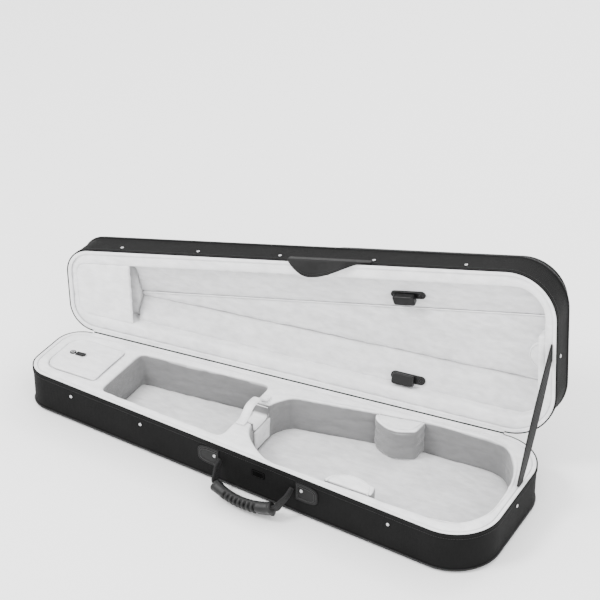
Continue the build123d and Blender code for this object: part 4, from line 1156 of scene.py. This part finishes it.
def stay_strap():
    """Webbing from the base's end wall to the lid's, tucked behind the lining at both ends."""
    x = LENGTH / 2 - 7.0 * MM
    low = Vector((x, 21 * MM, INSERT_TOP - 3 * MM))
    high = OPEN @ Vector((x, -21 * MM, LID_PAD + 3 * MM))
    run = (high - low).normalized()
    across = run.cross(ALONG_X).normalized()
    path, steps = [], 60
    for step in range(steps + 1):
        share = step / steps
        slack = math.sin(math.pi * share) * 1.5 * MM
        twist = -0.22 * math.sin(math.pi * share)
        turned = Matrix.Rotation(twist, 3, run)
        path.append((low.lerp(high, share) - UP * slack, turned @ across, turned @ ALONG_X))
    section = rounded_box_section(STAY_WIDTH, STAY_THICK, 0.6 * MM, 3)
    made = sweep("stay_strap_webbing", path, section, STAY_WEBBING, None, "webbing", closed=False,
                 replaces=("stay_strap",))
    for edge, label in ((-1, "a"), (1, "b")):
        row = [spot + u * (edge * (STAY_WIDTH / 2 - 1.6 * MM)) + v * (STAY_THICK / 2) for spot, u, v in path]
        line = stitches(f"stay_strap_edge_{label}", row, ALONG_X, None, pitch=2.8 * MM, radius=0.25 * MM)
        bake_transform(line)
    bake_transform(made)


def hinge_tape():
    """Fabric stitched down both back walls and rolled over the hinge cord between them."""
    reach = 13 * MM
    start = -LENGTH / 2 + CORNER_NARROW - 3 * MM
    finish = LENGTH / 2 - CORNER_WIDE - 6.5 * MM
    along = HINGE_AXIS.normalized()
    back, lid_up, lid_back = BACK_OUT, LID_TURN @ UP, LID_TURN @ BACK_OUT
    middle = HINGE_POINT
    profile = [-UP * reach - back * 1.1 * MM, -UP * (reach * 0.5) - back * 1.0 * MM,
               -UP * (3.5 * MM) - back * 0.3 * MM]
    profile += [back * (1.9 * MM * math.cos(a)) + UP * (1.9 * MM * math.sin(a))
                for a in (-0.9, -0.3, 0.3)]
    profile += [lid_up * (3.5 * MM) - lid_back * 0.3 * MM, lid_up * (reach * 0.5) - lid_back * 1.0 * MM,
                lid_up * reach - lid_back * 1.1 * MM]
    inner = [p - (back if k < 4 else lid_back) * 0.7 * MM for k, p in enumerate(profile)]
    loop = profile + inner[::-1]
    steps = 90
    vertices = []
    for step in range(steps + 1):
        x = start + (finish - start) * step / steps
        centre = middle + along * ((x - middle.x) / along.x)
        vertices += [centre + p for p in loop]
    made = piece("hinge_tape_fabric", vertices, capped_tube(steps + 1, len(loop)), BINDING_TAPE, None,
                 "case_fabric", replaces=("hinge_tape",))
    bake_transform(made)


stay_strap()
hinge_tape()

# ================================================================ music pocket
POCKET_X0 = 15 * MM
LAYER_TOPS = [LID_TOP + height * MM for height in (0, 6.5, 11.5, 17.5, 19.9)]


def pocket_outline(inset):
    """Points and outward normals round the pocket, inset from the case's sides."""
    left, right = POCKET_X0 + inset - 5 * MM, LENGTH / 2 - inset
    run = math.hypot(1, SIDE_SLOPE)
    low, high = half_width(left) - inset * run, half_width(right) - inset * run
    narrow, wide = 32 * MM - inset, CORNER_WIDE - inset
    return rounded_outline([
        (left, -low, narrow), (right, -high, wide), (right, high, wide), (left, low, narrow),
    ])


def round_the_pocket(inset, z):
    return raised(pocket_outline(inset), z, 0.0, OPEN)


def gusset(name, node_name, inset, low, high, bulge, skin, slot):
    """One band of the pocket's side: it swells between its seams and is thick enough to stand."""
    middle, half = (low + high) / 2, (high - low) / 2
    section = [(bulge * math.cos(math.pi / 2 * t) ** 0.7 - 0.3 * MM, half * t)
               for t in (-1, -0.85, -0.6, -0.3, 0, 0.3, 0.6, 0.85, 1)]
    section += [(-3.2 * MM, half), (-3.2 * MM, -half)]
    sweep(name, round_the_pocket(inset, middle), section, skin, "lid", slot, replaces=(node_name,))


for name, node_name, inset, layer, bulge, skin, slot in (
    ("pocket_lower_side", "pocket_lower_gusset", 5, 0, 1.0, CANVAS, "case_fabric"),
    ("pocket_zip_side", "pocket_zip_tape", 7, 1, 0.3, ZIP_FABRIC, "zip_tape"),
    ("pocket_upper_side", "pocket_upper_gusset", 8.5, 2, 0.9, CANVAS, "case_fabric"),
):
    gusset(name, node_name, inset * MM, LAYER_TOPS[layer], LAYER_TOPS[layer + 1], bulge * MM, skin, slot)


def zip_teeth():
    """Two interlocked rows of small rounded teeth along the zip's tape."""
    line = [Vector((*point, LAYER_TOPS[1] + 2.5 * MM)) for point, _ in pocket_outline(7 * MM)]
    vertices, faces = [], []
    for number, (spot, along) in enumerate(evenly(line, 1.5 * MM, closed=True)):
        if spot.x > LENGTH / 2 - 30 * MM:
            continue
        out = along.cross(UP).normalized()
        centre = spot + UP * (0.45 * MM * (-1) ** number) + out * 0.1 * MM
        first = len(vertices)
        for du, dv, dw in ((-.45, -1.0, 0), (.45, -1.0, 0), (.45, 1.0, 0), (-.45, 1.0, 0),
                           (-.3, -.8, .8), (.3, -.8, .8), (.3, .8, .8), (-.3, .8, .8)):
            vertices.append(OPEN @ (centre + along * du * MM + UP * dv * MM + out * dw * MM))
        faces += [tuple(first + k for k in face) for face in
                  ((0, 3, 2, 1), (4, 5, 6, 7), (0, 1, 5, 4), (1, 2, 6, 5), (2, 3, 7, 6), (3, 0, 4, 7))]
    piece("pocket_zip_teeth", vertices, faces, ZIP_TEETH, "lid", "zip_tape", smooth=False)


def pocket_panel():
    """The pocket's outer panel: a sheet that bellies a little, with a hem turned under."""
    rim = pocket_outline(10 * MM)
    count = len(rim)
    centre = sum((point for point, _ in rim), Vector((0, 0))) / count
    low, high = LAYER_TOPS[3], LAYER_TOPS[4]
    vertices = []
    shares = [0, 0.006, 0.02, 0.05] + [0.05 + 0.95 * (k / 22) for k in range(1, 22)]
    for share in shares:
        for point, _ in rim:
            spot = point.lerp(centre, share)
            belly = 3.2 * MM * (1 - (1 - share) ** 2.2)
            belly += noise.noise(Vector((spot.x * 9, spot.y * 13, 0.4))) * 1.3 * MM * min(1, share * 6)
            belly += noise.noise(Vector((spot.x * 45, spot.y * 45, 2.0))) * 0.25 * MM * min(1, share * 8)
            edge = -1.0 * MM if share == 0 else 0.0
            vertices.append((spot.x, spot.y, high + edge + belly))
    faces = tube_faces(len(shares), count, False)
    faces.append(tuple(range(len(vertices) - count, len(vertices))))
    base = len(vertices)
    vertices += [(*point, low) for point, _ in rim]
    for k in range(count):
        ahead = (k + 1) % count
        faces.append((k, ahead, base + ahead, base + k))
    faces.append(tuple(base + k for k in range(count)))
    piece("pocket_panel_fabric", vertices, faces, CANVAS, "lid", "case_fabric", OPEN, ("pocket_panel",))


zip_teeth()
pocket_panel()
sweep("pocket_edge_piping", round_the_pocket(9 * MM, LAYER_TOPS[3] + 1.0 * MM), circle(1.7 * MM, 10), PIPING,
      "lid", "piping", replaces=("pocket_piping",))
for number, (inset, layer) in enumerate(((5 * MM, 1), (8.5 * MM, 2))):
    seam_path = round_the_pocket(inset - 0.1 * MM, LAYER_TOPS[layer])
    sweep(f"pocket_seam_{number}", seam_path, circle(0.7 * MM, 8), BINDING_TAPE, "lid", "piping")


# ================================================================ small fittings
def patch(name, node_name, half_wide, half_high, thick, skin, body, slot, place):
    """A small patch with clipped corners and a stitched edge."""
    rim = rounded_rim(-half_wide, half_wide, half_high, 1.6 * MM)
    domed_plate(name, rim, skin, body, slot, place, thick, 0.5 * MM, replaces=(node_name,))
    row = [place @ Vector((x * 0.86, y * 0.8, thick)) for x, y in rim]
    stitches(f"{name}_stitches", row, place.to_3x3() @ UP, body, pitch=2.2 * MM, radius=0.2 * MM, closed=True)


patch("closure_hook_patch", "closure_patch", 11 * MM, 5.5 * MM, 1.0 * MM, HOOKS, "base", "hook_and_loop",
      wall_place(39 * MM, 43 * MM))
flap_patch_spot = FLAP_ROOT + FLAP_ALONG * (-10 * MM) + FLAP_DOWN * (17 * MM) - FLAP_FACE * 1.9 * MM
flap_axes = Matrix((FLAP_ALONG, FLAP_DOWN, FLAP_FACE)).transposed().to_4x4()
patch("flap_loop_patch", "flap_patch", 11 * MM, 5 * MM, 0.9 * MM, HOOKS, "closure_flap", "hook_and_loop",
      Matrix.Translation(flap_patch_spot) @ flap_axes)
for y, label in ((35, "back"), (-35, "front")):
    place = Matrix.Translation((STRAP_LOW.x / 2 + STRAP_HIGH.x / 2, y * MM, INSERT_TOP))
    rim = rounded_rim(-6 * MM, 6 * MM, 5 * MM, 2 * MM)
    domed_plate(f"neck_patch_{label}", rim, WHITE_HOOKS, "base", "white_hook_and_loop", place, 0.8 * MM,
                0.3 * MM, replaces=("neck_strap_patches",) if label == "back" else ())


def flap_root_strip():
    """The flap's root, sewn to the lid's wall below the rim."""
    thick = 1.6
    for number, (z, half_high, out) in enumerate(((74.4, 4.0, 0.0), (70.0, 4.5, 2.0))):
        place = OPEN @ wall_place(FLAP_X, z * MM, out * MM)
        rim = rounded_rim(-FLAP_HALF, FLAP_HALF, half_high * MM, 2 * MM)
        domed_plate(f"flap_root_{number}", rim, LEATHER, "lid", "leather", place, thick * MM, 0.5 * MM,
                    replaces=("flap_strip",) if number == 0 else ())
        if number == 0:
            row = [place @ Vector((x, y * 0.55, thick * MM)) for x, y in rim]
            stitches("flap_root_stitches", row, place.to_3x3() @ UP, "lid", pitch=3 * MM, closed=True,
                     radius=0.3 * MM)


flap_root_strip()


def dress(skin, *names):
    """Gives CAD nodes whose shapes are right their finish."""
    for name in names:
        materials = frame["nodes"][name].data.materials
        materials.clear()
        materials.append(skin)


dress(NICKEL, "base_rivets", "lid_rivets", "accessory_eyelet", "zip_slider", "zip_pull")
dress(BLACK_SCREW, "clip_screws")
dress(CLIP, "front_bow_clip", "back_bow_clip", "front_clip_plate", "back_clip_plate")
dress(PLYWOOD, "base_floor_panel", "base_frame", "lid_top_panel")
dress(PLUSH, "lid_frame")  # only a hairline shows inside the rim, where lining covers the wood
dress(PLUSH_RECESS_SHADE, "accessory_tray")


# ================================================================ camera, light and floor
TARGET = Vector((-57.7, 171.5, 159.0)) * MM
LOOK_AZIMUTH, LOOK_ELEVATION = math.radians(-28.8), math.radians(31.6)
CAMERA_DISTANCE = 3.0
SENSOR, FOCAL = 36, 118.2  # mm
LIGHT_TARGET = Vector((0, 0.03, 0.1))


def aim(made, direction):
    made.rotation_mode = "QUATERNION"
    made.rotation_quaternion = direction.to_track_quat("-Z", "Y")


def camera():
    forward = Vector((math.sin(LOOK_AZIMUTH) * math.cos(LOOK_ELEVATION),
                      math.cos(LOOK_AZIMUTH) * math.cos(LOOK_ELEVATION), -math.sin(LOOK_ELEVATION)))
    lens = bpy.data.cameras.new("camera")
    lens.lens, lens.sensor_width = FOCAL, SENSOR
    lens.shift_x = 0.0145
    lens.clip_start, lens.clip_end = 0.1, 30
    made = add_object("camera", lens)
    made.location = TARGET - forward * CAMERA_DISTANCE
    aim(made, forward)
    bpy.context.scene.camera = made


def soft_light(name, spot, size, power):
    lamp = bpy.data.lights.new(name, "AREA")
    lamp.shape = "DISK"
    lamp.size, lamp.energy = size, power
    made = add_object(name, lamp)
    made.location = spot
    aim(made, LIGHT_TARGET - Vector(spot))


def studio():
    size = 12.0
    mesh = bpy.data.meshes.new("floor")
    corners = [(-size, -size, 0), (size, -size, 0), (size, size, 0), (-size, size, 0)]
    mesh.from_pydata(corners, [], [(0, 1, 2, 3)])
    floor = add_object("floor", mesh)
    mesh.materials.append(material("pale_floor", (0.97, 0.97, 0.97), 0.9)[0])
    world = bpy.data.worlds.new("studio")
    world.use_nodes = True
    world.node_tree.nodes["Background"].inputs["Color"].default_value = (1, 1, 1, 1)
    world.node_tree.nodes["Background"].inputs["Strength"].default_value = 2.1
    bpy.context.scene.world = world
    soft_light("key", (-1.2, -1.6, 2.4), 1.0, 85)
    soft_light("fill", (2.0, -1.4, 1.4), 1.6, 30)
    soft_light("back", (0.4, 2.2, 2.2), 1.4, 52)


camera()
studio()
